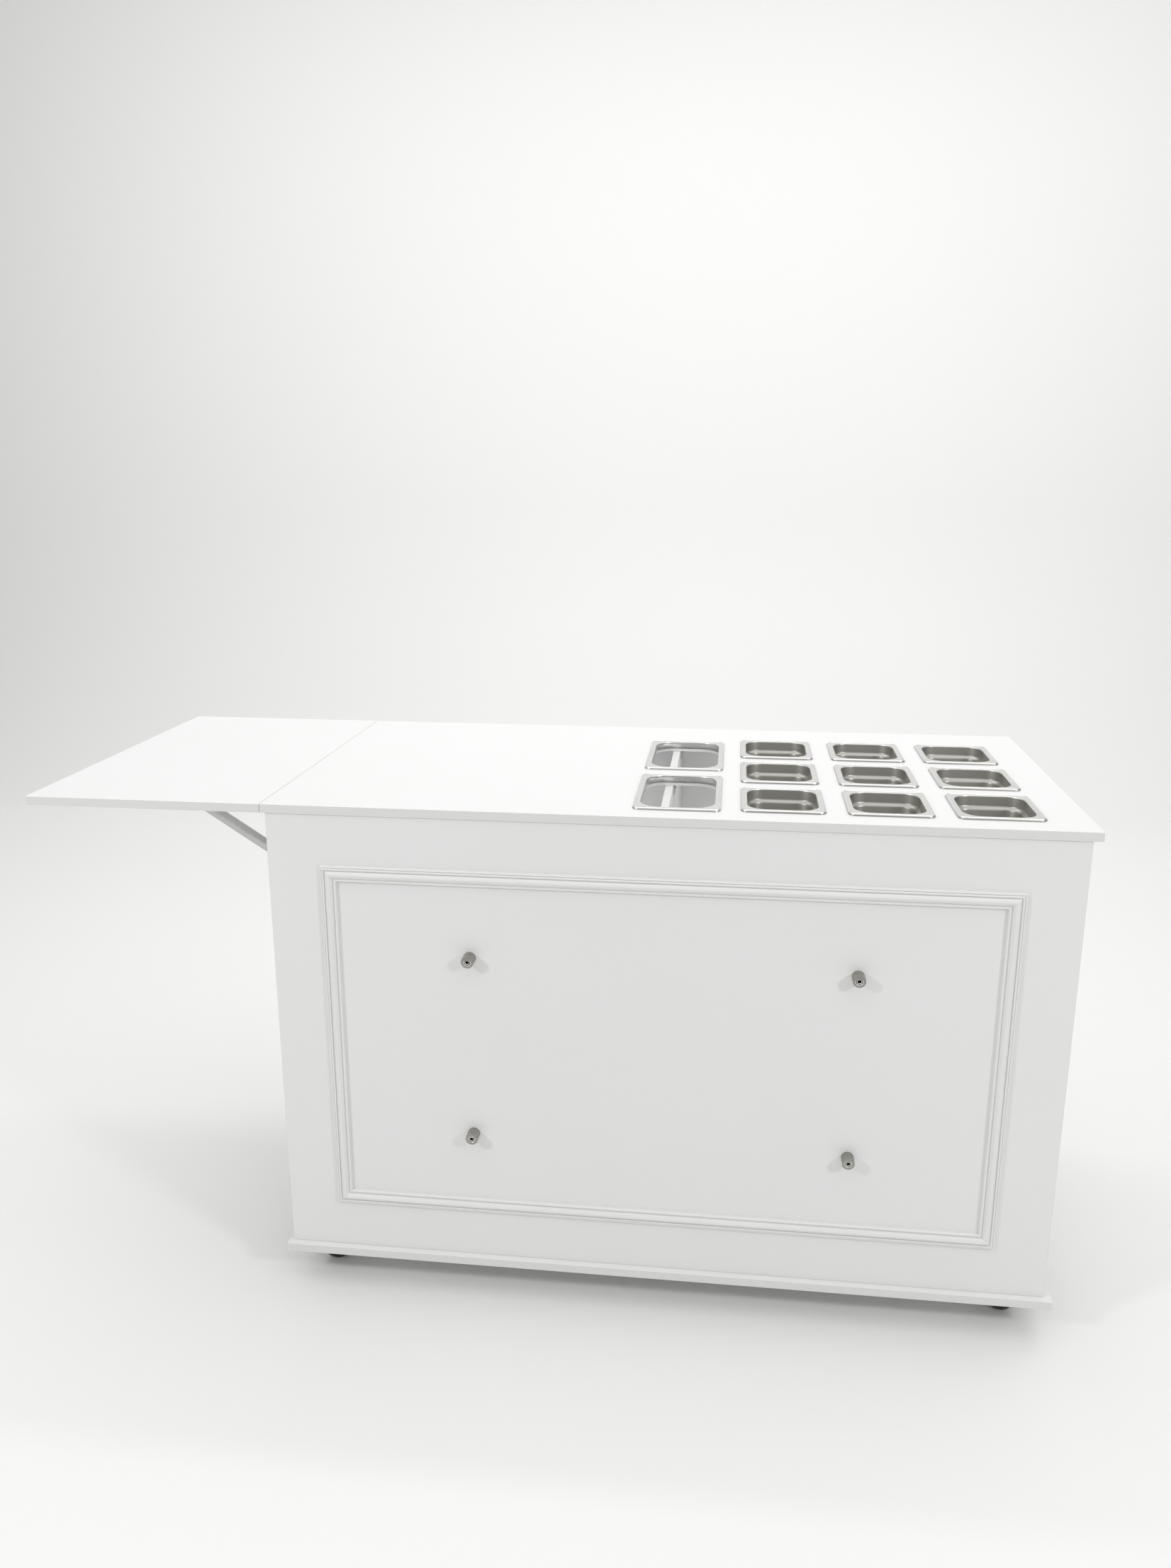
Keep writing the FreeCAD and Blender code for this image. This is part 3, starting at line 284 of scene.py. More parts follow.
def drawn_on(bm, ring, half, corner, next_half, next_corner, height):
    """Extrudes a ring and moves the new one: each corner keeps its arc round a new centre."""
    made = bmesh.ops.extrude_edge_only(bm, edges=ring)
    verts = {item for item in made["geom"] if isinstance(item, bmesh.types.BMVert)}
    for vert in verts:
        for axis in (0, 1):
            side = math.copysign(1, vert.co[axis])
            arm = vert.co[axis] - side * (half[axis] - corner)
            vert.co[axis] = side * (next_half[axis] - next_corner) + arm * next_corner / corner
        vert.co.z = height
    return [item for item in made["geom"]
            if isinstance(item, bmesh.types.BMEdge) and verts.issuperset(item.verts)]


def pressed_sheet(node, name, border_to_foot, bottom):
    """A pressed part as a stack of rings from its outer edge inwards. Each ring is (inset
    from the outer edge, corner radius, height over the worktop)."""
    low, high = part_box(node)
    outer = (high - low) / 2
    bm = bmesh.new()
    half, (_, corner, height) = (outer.x, outer.y), border_to_foot[0]
    ring = rounded_outline(bm, 2 * outer.x, 2 * outer.y, corner, height, steps=8)
    for inset, next_corner, height in border_to_foot[1:]:
        next_half = (outer.x - inset, outer.y - inset)
        ring = drawn_on(bm, ring, half, corner, next_half, next_corner, height)
        half, corner = next_half, next_corner
    if bottom:
        bmesh.ops.contextual_create(bm, geom=ring)
    bmesh.ops.recalc_face_normals(bm, faces=bm.faces)
    flat = max(bm.faces, key=lambda face: abs(face.normal.z) * face.calc_area())
    if flat.normal.z < 0:
        bmesh.ops.reverse_faces(bm, faces=bm.faces)
    middle = (high + low) / 2
    bmesh.ops.translate(bm, vec=(middle.x, middle.y, worktop_face), verts=bm.verts)
    thing = shown(name, bm)
    wall = thing.modifiers.new("sheet", "SOLIDIFY")
    wall.thickness, wall.offset = sheet, -1
    return thing


def quarter(inset, corner, height, radius, drop, hollow=False, steps=4):
    """Rings round a quarter circle, inwards and up, or down with drop. It starts upright and
    ends level, or the other way round if it is hollow."""
    rings = []
    for step in range(steps + 1):
        angle = math.pi / 2 * step / steps
        across, up = 1 - math.cos(angle), math.sin(angle)
        if hollow:
            across, up = up, across
        across, up = across * radius, up * radius
        rings.append((inset + across, corner - across, height + (-up if drop else up)))
    return rings


worktop_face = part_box("worktop")[1].z
outer_corner, plateau, sheet = 0.014, 0.0044, 0.001
flange_rings = [(0, outer_corner, 0.0002)]
flange_rings += quarter(0, outer_corner, 0.0007, 0.0045, drop=False, steps=8)
flange_rings += [(inset, outer_corner - inset, height) for inset, height in (
    (0.0052, 0.0051), (0.0058, 0.0048), (0.0062, 0.0045), (0.0068, plateau))]


def satin_steel(name, rough, lines, well_shade_tone=None):
    """Stainless sheet: fine rolling lines, soft cloudiness and a few handling marks. A
    drawn well is duller than the polished flange round it, and its colour is darker: painted
    shade."""
    steel = Finish(name, Metallic=1.0)
    cloud = steel.noise(14, detail=3.0)
    grain = steel.noise(60, detail=4.0, stretch=lines)
    bright = steel.mix(cloud, (0.76, 0.755, 0.74, 1), (0.69, 0.685, 0.67, 1))
    if well_shade_tone:
        # The mask picks out the well below the flange. It makes the steel rougher there and
        # carries the painted shade.
        height = steel.node("ShaderNodeSeparateXYZ", None, steel.place(), out="Z")
        dull_and_shaded = steel.node("ShaderNodeMapRange", None, height,
                          From_Min=worktop_face + 0.0035, From_Max=worktop_face + 0.001)
        # Painted shade: the well's steel colour is darker than the flange's, standing in for
        # shade and dark reflections inside the well.
        well_shade = steel.mix(cloud, well_shade_tone, tuple(c * 0.92 for c in well_shade_tone[:3]) + (1,))
        steel.on("Base Color", steel.mix(dull_and_shaded, bright, well_shade))
        steel.on("Roughness", rough + cloud * 0.08 + grain * 0.1 + dull_and_shaded * 0.12)
    else:
        steel.on("Base Color", bright).on("Roughness", rough + cloud * 0.08 + grain * 0.1)
    steel.bump(grain, distance=0.00003, strength=0.5)
    return steel


pan_steel = satin_steel("pan_steel", 0.2, (1, 30, 30), well_shade_tone=(0.49, 0.48, 0.45, 1))
rim_steel = satin_steel("rim_steel", 0.2, (1, 30, 30))
mouth, lip_radius, depth, foot = 0.013, 0.002, 0.065, 0.009
lip = quarter(mouth - lip_radius, 0.036, plateau, lip_radius, drop=True, hollow=True)
well_corner = 0.047
shoulder = [(inset, well_corner - inset, -drop) for inset, drop in (
    (0.0132, 0.0150), (0.0134, 0.0163), (0.0141, 0.0178), (0.0154, 0.0191), (0.0168, 0.0203),
    (0.0181, 0.0217), (0.0188, 0.0233), (0.0191, 0.0250))]
shoulder_foot, wall_slope = 0.025, math.tan(math.radians(5))
wall_end = 0.0191 + (depth - foot - shoulder_foot) * wall_slope
well = [(wall_end, well_corner - wall_end, foot - depth)]
well += quarter(wall_end, well_corner - wall_end, foot - depth, foot - sheet, drop=True)[1:]
well += [(0.045, 0.012, sheet - depth)]
pan_rings = flange_rings + [(0.010, 0.032, plateau)] + lip + shoulder + well
for name in [name for name in nodes if name.startswith("pan_")]:
    pan = pressed_sheet(name, f"food_{name}", pan_rings, bottom=True)
    pan.data.materials.append(pan_steel.material)
    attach(pan, name)
    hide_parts(name)

collar = quarter(mouth - lip_radius, 0.044, plateau, lip_radius, drop=True, hollow=True)
rim_rings = flange_rings + [(0.010, 0.03, plateau)] + collar + [(mouth, 0.042, -0.011)]
for name in ("opening_rim_front", "opening_rim_rear"):
    rim = pressed_sheet(name, name.replace("opening", "open"), rim_rings, bottom=False)
    rim.data.materials.append(rim_steel.material)
    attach(rim, "cabinet")
    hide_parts(name)


# ---- The sign standoffs -----------------------------------------------------------
# Four turned steel barrels that a sign would stand on. Each has a polished threaded
# insert whose stem runs through the front panel to a nut. No sign is fitted.

def spun(bm, outline, steps=48):
    """Spins an open outline of (radius, height) points about Z."""
    points = [bm.verts.new((radius, 0, height)) for radius, height in outline]
    edges = [bm.edges.new(pair) for pair in zip(points, points[1:])]
    bmesh.ops.spin(bm, geom=points + edges, cent=(0, 0, 0), axis=(0, 0, 1),
                   angle=2 * math.pi, steps=steps, use_merge=True)
    bmesh.ops.remove_doubles(bm, verts=bm.verts, dist=1e-6)
    bmesh.ops.dissolve_degenerate(bm, edges=bm.edges, dist=1e-7)
    bmesh.ops.recalc_face_normals(bm, faces=bm.faces)


def master(outline, steps=48):
    """A spun shape, kept as a mesh to be set down several times."""
    bm = bmesh.new()
    spun(bm, outline, steps)
    return kept_mesh(bm)


def kept_mesh(bm):
    mesh = bpy.data.meshes.new("master")
    bm.to_mesh(mesh)
    bm.free()
    return mesh


def several(name, mesh, places):
    """One piece made of copies of a shape, each set down by its matrix."""
    bm = bmesh.new()
    for matrix in places:
        first = len(bm.verts)
        bm.from_mesh(mesh)
        bmesh.ops.transform(bm, matrix=matrix, verts=bm.verts[first:])
    return shown(name, bm)


def stands_for(piece, body, slot, finish, *names):
    """The piece takes a finish, rides on a body and hides the CAD nodes that it is."""
    piece.data.materials.append(finish.material)
    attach(piece, body)
    if names:
        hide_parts(*names)
    return piece


outwards = Matrix.Rotation(math.pi / 2, 4, "X")
low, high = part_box("standoff_barrels")
panel_face, radius = high.y, 0.0125
standoff_spots = [Matrix.Translation((x, panel_face, z)) @ outwards
                  for x in (low.x + radius, high.x - radius)
                  for z in (low.z + radius, high.z - radius)]

# The barrels' steel colour is much darker than the other steel: a painted dark reflection on
# their turned faces.
turned_steel = Finish("turned_steel", Metallic=1.0)
cloud = turned_steel.noise(160, detail=3.0)
turned_steel.on("Base Color", turned_steel.mix(cloud, (0.40, 0.385, 0.355, 1),
                                               (0.33, 0.32, 0.29, 1)))
turned_steel.on("Roughness", 0.34 + cloud * 0.12)
turned_steel.bump(turned_steel.noise(900, stretch=(0.1, 1, 0.1)), distance=0.00003)

barrel = master([
    (0.0031, 0), (0.0122, 0), (0.0125, 0.0003), (0.0125, 0.0238), (0.01245, 0.0243),
    (0.0122, 0.0247), (0.01185, 0.02492), (0.0114, 0.025), (0.00835, 0.025),
    (0.00815, 0.02485), (0.0081, 0.0245), (0.0081, 0.013), (0.0031, 0.013), (0.0031, 0)])
stands_for(several("standoff_barrel", barrel, standoff_spots), "cabinet", "satin_stainless",
           turned_steel, "standoff_barrels")

bright_steel = Finish("bright_steel", Metallic=1.0)
smear = bright_steel.noise(120, detail=3.0)
bright_steel.on("Base Color", bright_steel.mix(smear, (0.74, 0.73, 0.70, 1),
                                               (0.66, 0.65, 0.62, 1)))
bright_steel.on("Roughness", 0.12 + smear * 0.12)

pitch, thread_bottom = 0.00125, 0.0152
insert_outline = [
    (0, -0.024), (0.0026, -0.024), (0.003, -0.0236), (0.003, 0.0131), (0.0078, 0.0131),
    (0.008, 0.0133), (0.008, 0.0246), (0.0079, 0.0249), (0.0077, 0.025), (0.0065, 0.025),
    (0.00624, 0.0248), (0.00624, 0.0234), (0.00512, 0.0234), (0.00512, 0.0247),
    (0.0049, 0.025), (0.0039, 0.025), (0.0034, 0.0244)]
for turn in range(7):
    insert_outline += [(0.0034, 0.0240 - turn * pitch), (0.0030, 0.0234 - turn * pitch)]
insert_outline += [(0.0034, thread_bottom), (0, thread_bottom - 0.001)]
# Near-black steel in the threaded bore and in the ring groove on the insert's face: painted shade
# in these recesses.
bore_and_groove_shade = Finish("bore_and_groove_shade", Metallic=1.0)
bore_and_groove_shade.on("Base Color", bore_and_groove_shade.mix(bore_and_groove_shade.noise(300), (0.07, 0.065, 0.06, 1),
                                             (0.12, 0.11, 0.10, 1)))
bore_and_groove_shade.on("Roughness", 0.35 + bore_and_groove_shade.noise(500) * 0.2)
bm = bmesh.new()
spun(bm, insert_outline)
# Faces in the bore and in the ring groove take the second material, the painted shade.
for face in bm.faces:
    middle = face.calc_center_median()
    out = middle.xy.length
    in_bore, in_groove = out < 0.0035 and middle.z > 0.013, 0.005 < out < 0.0063
    face.material_index = int(in_bore or in_groove and 0.023 < middle.z < 0.0246)
insert = stands_for(several("standoff_insert", kept_mesh(bm), standoff_spots), "cabinet",
                    "polished_stainless", bright_steel, "standoff_inserts")
insert.data.materials.append(bore_and_groove_shade.material)

zinc = Finish("bright_zinc", Metallic=1.0)
flake = zinc.node("ShaderNodeTexVoronoi", None, Vector=zinc.place(), Scale=420)
zinc.on("Base Color", zinc.mix(zinc.noise(90), (0.62, 0.63, 0.62, 1), (0.56, 0.55, 0.50, 1)))
zinc.on("Roughness", 0.3 + flake * 0.25)


def hexagon_nut(across_flats, height):
    """A chamfered hexagon nut that stands on z = 0."""
    bm = bmesh.new()
    bmesh.ops.create_circle(bm, cap_ends=True, segments=6, radius=across_flats / math.sqrt(3))
    made = bmesh.ops.extrude_face_region(bm, geom=bm.faces[:])
    top = [item for item in made["geom"] if isinstance(item, bmesh.types.BMVert)]
    bmesh.ops.translate(bm, vec=(0, 0, height), verts=top)
    flat = [edge for edge in bm.edges if abs(edge.verts[0].co.z - edge.verts[1].co.z) < 1e-6]
    bmesh.ops.bevel(bm, geom=flat, offset=0.1 * height, offset_type="OFFSET", segments=2,
                    profile=0.5, affect="EDGES", material=-1)
    bmesh.ops.recalc_face_normals(bm, faces=bm.faces)
    return kept_mesh(bm)


behind_panel = Matrix.Translation((0, 0, -0.021))
nut = hexagon_nut(0.010, 0.005)
stands_for(several("standoff_nut", nut, [spot @ behind_panel for spot in standoff_spots]),
           "cabinet", "zinc_steel", zinc, "standoff_nuts")


# ---- The screws -------------------------------------------------------------------
# Pan-head wood screws with a cross recess, zinc plated. They hold the fixing angles, the
# leaf brackets and the caster plates.

def cross_screw():
    """A screw whose head stands on z = 0 and whose shank runs down from it."""
    bm = bmesh.new()
    head, recess, top = 0.004, 0.0018, 0.0024
    grid = bmesh.ops.create_grid(bm, x_segments=3, y_segments=3, size=recess)["verts"]
    bmesh.ops.translate(bm, vec=(0, 0, top), verts=grid)
    faces = [face for face in bm.faces
             if min(abs(face.calc_center_median().x), abs(face.calc_center_median().y)) < 1e-6]
    rim = [edge for edge in bm.edges if edge.is_boundary]
    made = bmesh.ops.extrude_face_region(bm, geom=faces)
    floor_verts = [item for item in made["geom"] if isinstance(item, bmesh.types.BMVert)]
    bmesh.ops.translate(bm, vec=(0, 0, -0.0013), verts=floor_verts)
    bmesh.ops.scale(bm, vec=(0.75, 0.75, 1), verts=floor_verts)
    bmesh.ops.delete(bm, geom=faces, context="FACES")
    last = rim
    for radius, level in ((0.0032, 0.00225), (0.0038, 0.0016), (head, 0.0008), (head, 0),
                          (0.002, 0), (0.002, -0.013), (0.0002, -0.0145)):
        ring = bmesh.ops.create_circle(bm, segments=12, radius=radius)["verts"]
        turn = Matrix.Rotation(math.radians(15), 4, "Z")
        bmesh.ops.transform(bm, matrix=Matrix.Translation((0, 0, level)) @ turn, verts=ring)
        ring = list({edge for vert in ring for edge in vert.link_edges})
        bmesh.ops.bridge_loops(bm, edges=last + ring)
        last = ring
    bmesh.ops.contextual_create(bm, geom=last)
    bmesh.ops.recalc_face_normals(bm, faces=bm.faces)
    return kept_mesh(bm)


screw = cross_screw()
faces_down = Matrix.Rotation(math.pi, 4, "X")
faces_up = Matrix.Identity(4)
faces_left = Matrix.Rotation(-math.pi / 2, 4, "Y")
faces_right = Matrix.Rotation(math.pi / 2, 4, "Y")
seat_to_tip = 0.015


def loose_parts(node):
    """The middle and size of each separate solid in a CAD node."""
    bm = bmesh.new()
    bm.from_mesh(nodes[node].data)
    bmesh.ops.remove_doubles(bm, verts=bm.verts, dist=1e-6)
    found, seen = [], set()
    for first in bm.verts:
        if first in seen:
            continue
        island, edge_of = {first}, [first]
        while edge_of:
            for edge in edge_of.pop().link_edges:
                for vert in edge.verts:
                    if vert not in island:
                        island.add(vert)
                        edge_of.append(vert)
        seen |= island
        low = Vector([min(vert.co[axis] for vert in island) for axis in range(3)])
        high = Vector([max(vert.co[axis] for vert in island) for axis in range(3)])
        found.append((low, high))
    bm.free()
    return found


def screws_like(node, piece_name, body):
    """Cross-recess screws where a CAD node has plain ones. Each lies along its node's longest
    side, and runs into the board that it holds: worktop, leaf, base or upright board."""
    places = []
    for low, high in loose_parts(node):
        size, middle = high - low, (low + high) / 2
        along = max(range(3), key=lambda axis: size[axis])
        if along == 2:
            into_base = node == "fixing_screws" and middle.z < 0.5
            turn, seat = ((faces_up, low.z + seat_to_tip) if into_base
                          else (faces_down, high.z - seat_to_tip))
            spot = (middle.x, middle.y, seat)
        else:
            into_right = node == "bracket_leg_screws" or middle.x > 0.5
            turn, seat = ((faces_left, high.x - seat_to_tip) if into_right
                          else (faces_right, low.x + seat_to_tip))
            spot = (seat, middle.y, middle.z)
        places.append(Matrix.Translation(spot) @ turn)
    return stands_for(several(piece_name, screw, places), body, "zinc_steel", zinc, node)


screws_like("fixing_screws", "angle_screw", "cabinet")
screws_like("bracket_arm_screws", "arm_screw", "leaf")
screws_like("bracket_leg_screws", "leg_screw", "cabinet")
screws_like("caster_plate_screws", "plate_screw", "cabinet")
dress(zinc, "fixing_angles", "shelf_pins")


# ---- The leaf brackets ------------------------------------------------------------
# Two folding brackets of 2 mm steel, powder coated light grey. A channel under the leaf
# and one on the side panel turn on the corner pivot, and a strut props them apart: a
# channel with its web on the upper side and a wide bend along both edges.

powder = Finish("grey_powder", IOR=1.5)
peel = powder.noise(700, detail=2.0)
powder.on("Base Color", powder.mix(powder.noise(30), (0.80, 0.81, 0.79, 1),
                                   (0.74, 0.75, 0.73, 1)))
powder.on("Roughness", 0.3 + peel * 0.12).bump(peel, distance=0.0001, strength=0.5)
dress(powder, "bracket_arms", "bracket_legs")


strut_length, strut_sheet = 0.2746, 0.002


def strut_channel():
    """A channel open downwards that runs along -X from its foot pivot at the origin."""
    tail, half_width, half_height, bend = 0.008, 0.014, 0.007, 0.004
    bm = bmesh.new()
    line = bmesh.ops.create_grid(bm, x_segments=1, y_segments=1, size=0.5)["verts"]
    bmesh.ops.scale(bm, vec=(strut_length + 2 * tail, 2 * half_width, 1), verts=line)
    bmesh.ops.translate(bm, vec=(-strut_length / 2, 0, half_height), verts=line)
    sides = [edge for edge in bm.edges if abs(edge.verts[0].co.y - edge.verts[1].co.y) < 1e-6]
    made = bmesh.ops.extrude_edge_only(bm, edges=sides)
    lowered = [item for item in made["geom"] if isinstance(item, bmesh.types.BMVert)]
    bmesh.ops.translate(bm, vec=(0, 0, -2 * half_height), verts=lowered)
    bmesh.ops.bevel(bm, geom=lowered, offset=tail, offset_type="OFFSET", segments=6,
                    profile=0.5, affect="VERTICES", material=-1)
    folds = [edge for edge in bm.edges if len(edge.link_faces) == 2]
    bmesh.ops.bevel(bm, geom=folds, offset=bend, offset_type="OFFSET", segments=4,
                    profile=0.5, affect="EDGES", material=-1)
    bmesh.ops.recalc_face_normals(bm, faces=bm.faces)
    web = max(bm.faces, key=lambda face: face.calc_area())
    if web.normal.z < 0:
        bmesh.ops.reverse_faces(bm, faces=bm.faces)
    return bm


pin = [(0, -0.017), (0.0032, -0.017), (0.004, -0.0162), (0.004, 0.0162), (0.0032, 0.017),
       (0, 0.017)]
crosswise = Matrix.Rotation(math.pi / 2, 4, "X")
foot_drop, top_reach = 0.150, 0.230
corner_pivot = Vector((-0.561, 0, 1.038))
slope = Matrix.Rotation(math.atan2(foot_drop, top_reach), 4, "Y")
for name in ("front", "rear"):
    low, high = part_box(f"bracket_strut_{name}")
    across = (low.y + high.y) / 2
    foot = Matrix.Translation((corner_pivot.x, across, corner_pivot.z - foot_drop)) @ slope
    bm = strut_channel()
    bmesh.ops.transform(bm, matrix=foot, verts=bm.verts)
    strut = shown(f"strut_{name}", bm)
    steel = strut.modifiers.new("sheet", "SOLIDIFY")
    steel.thickness, steel.offset = strut_sheet, -1
    stands_for(strut, f"strut_{name}", "grey_steel", powder, f"bracket_strut_{name}")
    top = foot @ Matrix.Translation((-strut_length, 0, 0)) @ crosswise
    stands_for(several(f"strut_pin_{name}", master(pin, 24), [top]), f"strut_{name}",
               "grey_steel", zinc)


def pin_at(node):
    """Rivet-headed pins where a CAD node has plain rods along Y."""
    bm = bmesh.new()
    for low, high in loose_parts(node):
        radius, half = (high.z - low.z) / 2, (high.y - low.y) / 2
        outline = [(0, -half), (0.8 * radius, -half), (radius, 0.2 * radius - half),
                   (radius, half - 0.2 * radius), (0.8 * radius, half), (0, half)]
        first = len(bm.verts)
        bm.from_mesh(master(outline, 24))
        bmesh.ops.transform(bm, matrix=Matrix.Translation((low + high) / 2) @ crosswise,
                            verts=bm.verts[first:])
    return bm


stands_for(shown("pivot_pin", pin_at("bracket_pivot_pins")), "cabinet", "zinc_steel", zinc,
           "bracket_pivot_pins")


# ---- The sliding doors ------------------------------------------------------------
# Two melamine doors that run past each other in anodised aluminium tracks, each with a
# pressed flush pull.

anodised = Finish("anodised_aluminium", Metallic=1.0)
draw_lines = anodised.noise(500, detail=3.0, stretch=(0.02, 1, 1))
anodised.on("Base Color", anodised.mix(draw_lines, (0.78, 0.78, 0.775, 1),
                                       (0.70, 0.70, 0.695, 1)))
anodised.on("Roughness", 0.34 + draw_lines * 0.12)
dress(anodised, "door_track_top", "door_track_bottom")

towards_back = Matrix.Rotation(-math.pi / 2, 4, "X")
pull = [(0, -0.01), (0.0135, -0.01), (0.0153, -0.0094), (0.0159, -0.0082), (0.0159, -0.0001),
        (0.019, -0.0001), (0.019, 0.0005), (0.0186, 0.001), (0.018, 0.0012), (0.0163, 0.0012),
        (0.0155, 0.001), (0.0148, 0.0003), (0.0147, -0.0074), (0.0142, -0.0084),
        (0.0131, -0.0088), (0, -0.0088)]
for side in ("left", "right"):
    low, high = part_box(f"door_pull_{side}")
    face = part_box(f"sliding_door_{side}")[1].y
    spot = Matrix.Translation(((low.x + high.x) / 2, face, (low.z + high.z) / 2))
    stands_for(several(f"flush_pull_{side}", master(pull, 64), [spot @ towards_back]),
               f"door_{side}", "polished_stainless", bright_steel, f"door_pull_{side}")


# ---- The casters ------------------------------------------------------------------
# Four small swivel casters screwed under the base: a pressed black steel plate with a ball
# race and king pin, a bent fork, and a 60 mm wheel with a rubber tread on a plastic disc.

black_coat = Finish("black_powder", IOR=1.5)
dimple = black_coat.noise(900, detail=2.0)
dust = black_coat.noise(40, detail=4.0)
black_coat.on("Base Color", black_coat.mix(dust, (0.030, 0.030, 0.032, 1),
                                           (0.055, 0.054, 0.052, 1)))
black_coat.on("Roughness", 0.38 + dust * 0.25).bump(dimple, distance=0.00008, strength=0.5)
rubber = Finish("black_tread", IOR=1.5)
scuff = rubber.noise(120, detail=5.0, rough=0.7)
rubber.on("Base Color", rubber.mix(scuff, (0.022, 0.022, 0.022, 1), (0.075, 0.073, 0.07, 1)))
rubber.on("Roughness", 0.6 + scuff * 0.3).bump(scuff, distance=0.0002, strength=0.5)
disc = Finish("black_plastic", IOR=1.46)
disc.on("Base Color", disc.mix(disc.noise(60), (0.03, 0.03, 0.03, 1), (0.045, 0.045, 0.045, 1)))
disc.on("Roughness", 0.4 + disc.noise(300) * 0.2)

tyre = [(0.0242, -0.0095), (0.0242, -0.0118), (0.0248, -0.012), (0.0278, -0.012),
        (0.0290, -0.0108), (0.0297, -0.0085), (0.03, -0.004), (0.03, 0.004),
        (0.0297, 0.0085), (0.0290, 0.0108), (0.0278, 0.012), (0.0248, 0.012),
        (0.0242, 0.0118), (0.0242, 0.0095)]
rim_and_hub = [(0.00406, -0.012), (0.0095, -0.012), (0.01, -0.0115), (0.0102, -0.0098),
               (0.0108, -0.0095), (0.0205, -0.0095), (0.0214, -0.0097), (0.0218, -0.0103),
               (0.0222, -0.0112), (0.0242, -0.0112), (0.0242, 0.0112), (0.0222, 0.0112),
               (0.0218, 0.0103), (0.0214, 0.0097), (0.0205, 0.0095), (0.0108, 0.0095),
               (0.0102, 0.0098), (0.01, 0.0115), (0.0095, 0.012), (0.00406, 0.012),
               (0.00406, -0.012)]


def ribs(bm, count=6):
    """Radial ribs on both sides of the disc, each a tapered bar with rounded edges."""
    for side in (-1, 1):
        for number in range(count):
            made = bmesh.ops.create_cube(bm, size=1)["verts"]
            bmesh.ops.scale(bm, vec=(0.0115, 0.0022, 0.002), verts=made)
            edges = list({edge for vert in made for edge in vert.link_edges})
            made = bmesh.ops.bevel(bm, geom=edges, offset=0.0004, offset_type="OFFSET",
                                   segments=2, profile=0.5, affect="EDGES", material=-1)
            turn = Matrix.Rotation(2 * math.pi * number / count, 4, "Z")
            bmesh.ops.transform(bm, matrix=turn @ Matrix.Translation(
                (0.0157, 0, side * 0.0102)), verts=made["verts"])


def wheel_mesh():
    bm = bmesh.new()
    spun(bm, tyre, 64)
    for face in bm.faces:
        face.material_index = 1
    bm.from_mesh(master(rim_and_hub, 64))
    ribs(bm)
    return kept_mesh(bm)


trail, fork_sheet = 0.024, 0.0025


def bent_fork():
    """The fork, with its king pin on Z and the wheel trailing it along -X."""
    crown, half = 0.0700, 0.016
    bm = bmesh.new()
    plate = bmesh.ops.create_grid(bm, x_segments=1, y_segments=1, size=0.5)["verts"]
    bmesh.ops.scale(bm, vec=(0.045, 2 * half, 1), verts=plate)
    bmesh.ops.translate(bm, vec=(-0.0055, 0, crown), verts=plate)
    sides = [edge for edge in bm.edges if abs(edge.verts[0].co.y - edge.verts[1].co.y) < 1e-6]
    for drop, lean, keep in ((0.008, -0.002, 0.94), (0.030, -0.0165, 0.36)):
        made = bmesh.ops.extrude_edge_only(bm, edges=sides)
        lowered = [item for item in made["geom"] if isinstance(item, bmesh.types.BMVert)]
        sides = [item for item in made["geom"] if isinstance(item, bmesh.types.BMEdge)
                 and abs(item.verts[0].co.y - item.verts[1].co.y) < 1e-6
                 and item.verts[0] in lowered and item.verts[1] in lowered]
        middle = sum((vert.co.x for vert in lowered)) / len(lowered)
        for vert in lowered:
            vert.co.x = middle + (vert.co.x - middle) * keep + lean
            vert.co.z -= drop
    made = bmesh.ops.extrude_edge_only(bm, edges=sides)
    lowered = [item for item in made["geom"] if isinstance(item, bmesh.types.BMVert)]
    bmesh.ops.translate(bm, vec=(0, 0, -0.010), verts=lowered)
    bmesh.ops.bevel(bm, geom=lowered, offset=0.0074, offset_type="OFFSET", segments=6,
                    profile=0.5, affect="VERTICES", material=-1)
    folds = [edge for edge in bm.edges if len(edge.link_faces) == 2
             and all(abs(vert.co.z - crown) < 1e-6 for vert in edge.verts)]
    bmesh.ops.bevel(bm, geom=folds, offset=0.004, offset_type="OFFSET", segments=4,
                    profile=0.5, affect="EDGES", material=-1)
    bmesh.ops.recalc_face_normals(bm, faces=bm.faces)
    top = max(bm.faces, key=lambda face: face.calc_center_median().z)
    if top.normal.z < 0:
        bmesh.ops.reverse_faces(bm, faces=bm.faces)
    return kept_mesh(bm)


race = [(0.0055, 0.0705), (0.0165, 0.0705), (0.017, 0.071), (0.017, 0.0735), (0.0182, 0.0746),
        (0.0195, 0.075)]
king_pin = [(0, 0.0645), (0.0062, 0.0645), (0.0078, 0.0653), (0.008, 0.066), (0.008, 0.067),
            (0.004, 0.067), (0.004, 0.0752)]
bolt = [(0, -0.0185), (0.0052, -0.0185), (0.0062, -0.0179), (0.0064, -0.0165),
        (0.0064, -0.016), (0.004, -0.016), (0.004, 0.0160), (0.004, 0.019), (0, 0.0195)]


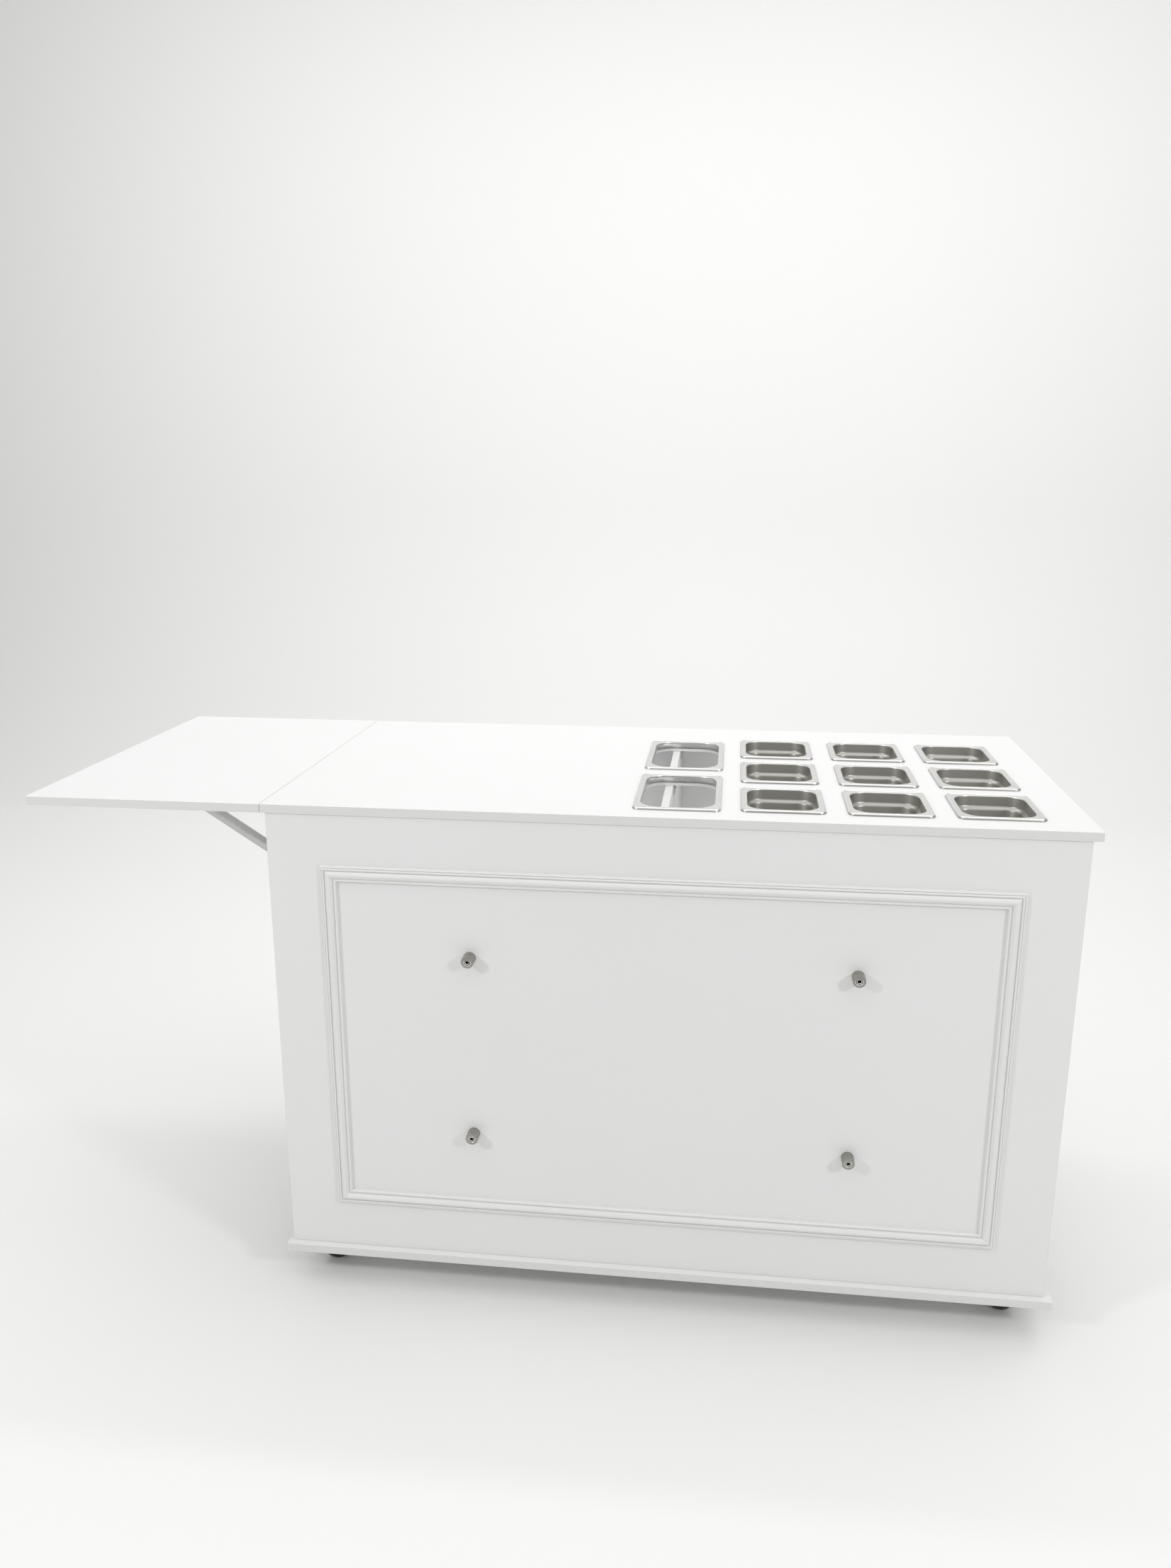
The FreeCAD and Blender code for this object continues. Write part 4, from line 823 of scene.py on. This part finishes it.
def caster_plate():
    """The top plate on the king pin's axis, with the ball race and the king pin."""
    bm = bmesh.new()
    long, wide, corner = 0.0317, 0.0277, 0.0067
    ring = rounded_outline(bm, 2 * long, 2 * wide, corner, 0.075, steps=6)
    half, turn = (long, wide), corner
    for grow, height in ((0.0003, 0.0753), (0.0003, 0.0777), (0, 0.078)):
        size = (long + grow, wide + grow)
        ring = drawn_on(bm, ring, half, turn, size, corner + grow, height)
        half, turn = size, corner + grow
    bmesh.ops.contextual_create(bm, geom=ring)
    under = [edge for edge in bm.edges if edge.is_boundary]
    bmesh.ops.contextual_create(bm, geom=under)
    bmesh.ops.recalc_face_normals(bm, faces=bm.faces)
    bm.from_mesh(master(race, 48))
    bm.from_mesh(master(king_pin, 32))
    return kept_mesh(bm)


wheel, fork, plate = wheel_mesh(), bent_fork(), caster_plate()
axle_nut = hexagon_nut(0.0105, 0.0035)
plate_places = []
for corner in ("front_left", "front_right", "rear_left", "rear_right"):
    low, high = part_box(f"caster_wheel_{corner}")
    hub = (low + high) / 2
    left = "left" in corner
    upright = Matrix.Translation((hub.x + (trail if left else -trail), hub.y, 0))
    heading = upright @ Matrix.Rotation(0 if left else math.pi, 4, "Z")
    plate_places.append(heading)
    in_hub = Matrix.Translation(hub) @ crosswise
    body = f"wheel_{corner}"
    roller = several(f"caster_roller_{corner}", wheel, [in_hub])
    stands_for(roller, body, "black_rubber", disc, f"caster_wheel_{corner}")
    roller.data.materials.append(rubber.material)
    bent = several(f"fork_{corner}", fork, [heading])
    steel = bent.modifiers.new("sheet", "SOLIDIFY")
    steel.thickness, steel.offset = fork_sheet, -1
    stands_for(bent, f"swivel_{corner}", "black_steel", black_coat, f"caster_fork_{corner}")
    bm = bmesh.new()
    bm.from_mesh(master(bolt, 32))
    first = len(bm.verts)
    bm.from_mesh(axle_nut)
    bmesh.ops.translate(bm, vec=(0, 0, 0.016), verts=bm.verts[first:])
    bmesh.ops.transform(bm, matrix=Matrix.Translation(hub) @ towards_back, verts=bm.verts)
    stands_for(shown(f"axle_{corner}", bm), f"swivel_{corner}", "zinc_steel", zinc,
               f"caster_axle_{corner}")
stands_for(several("caster_plate", plate, plate_places), "cabinet", "black_steel", black_coat,
           "caster_plates")
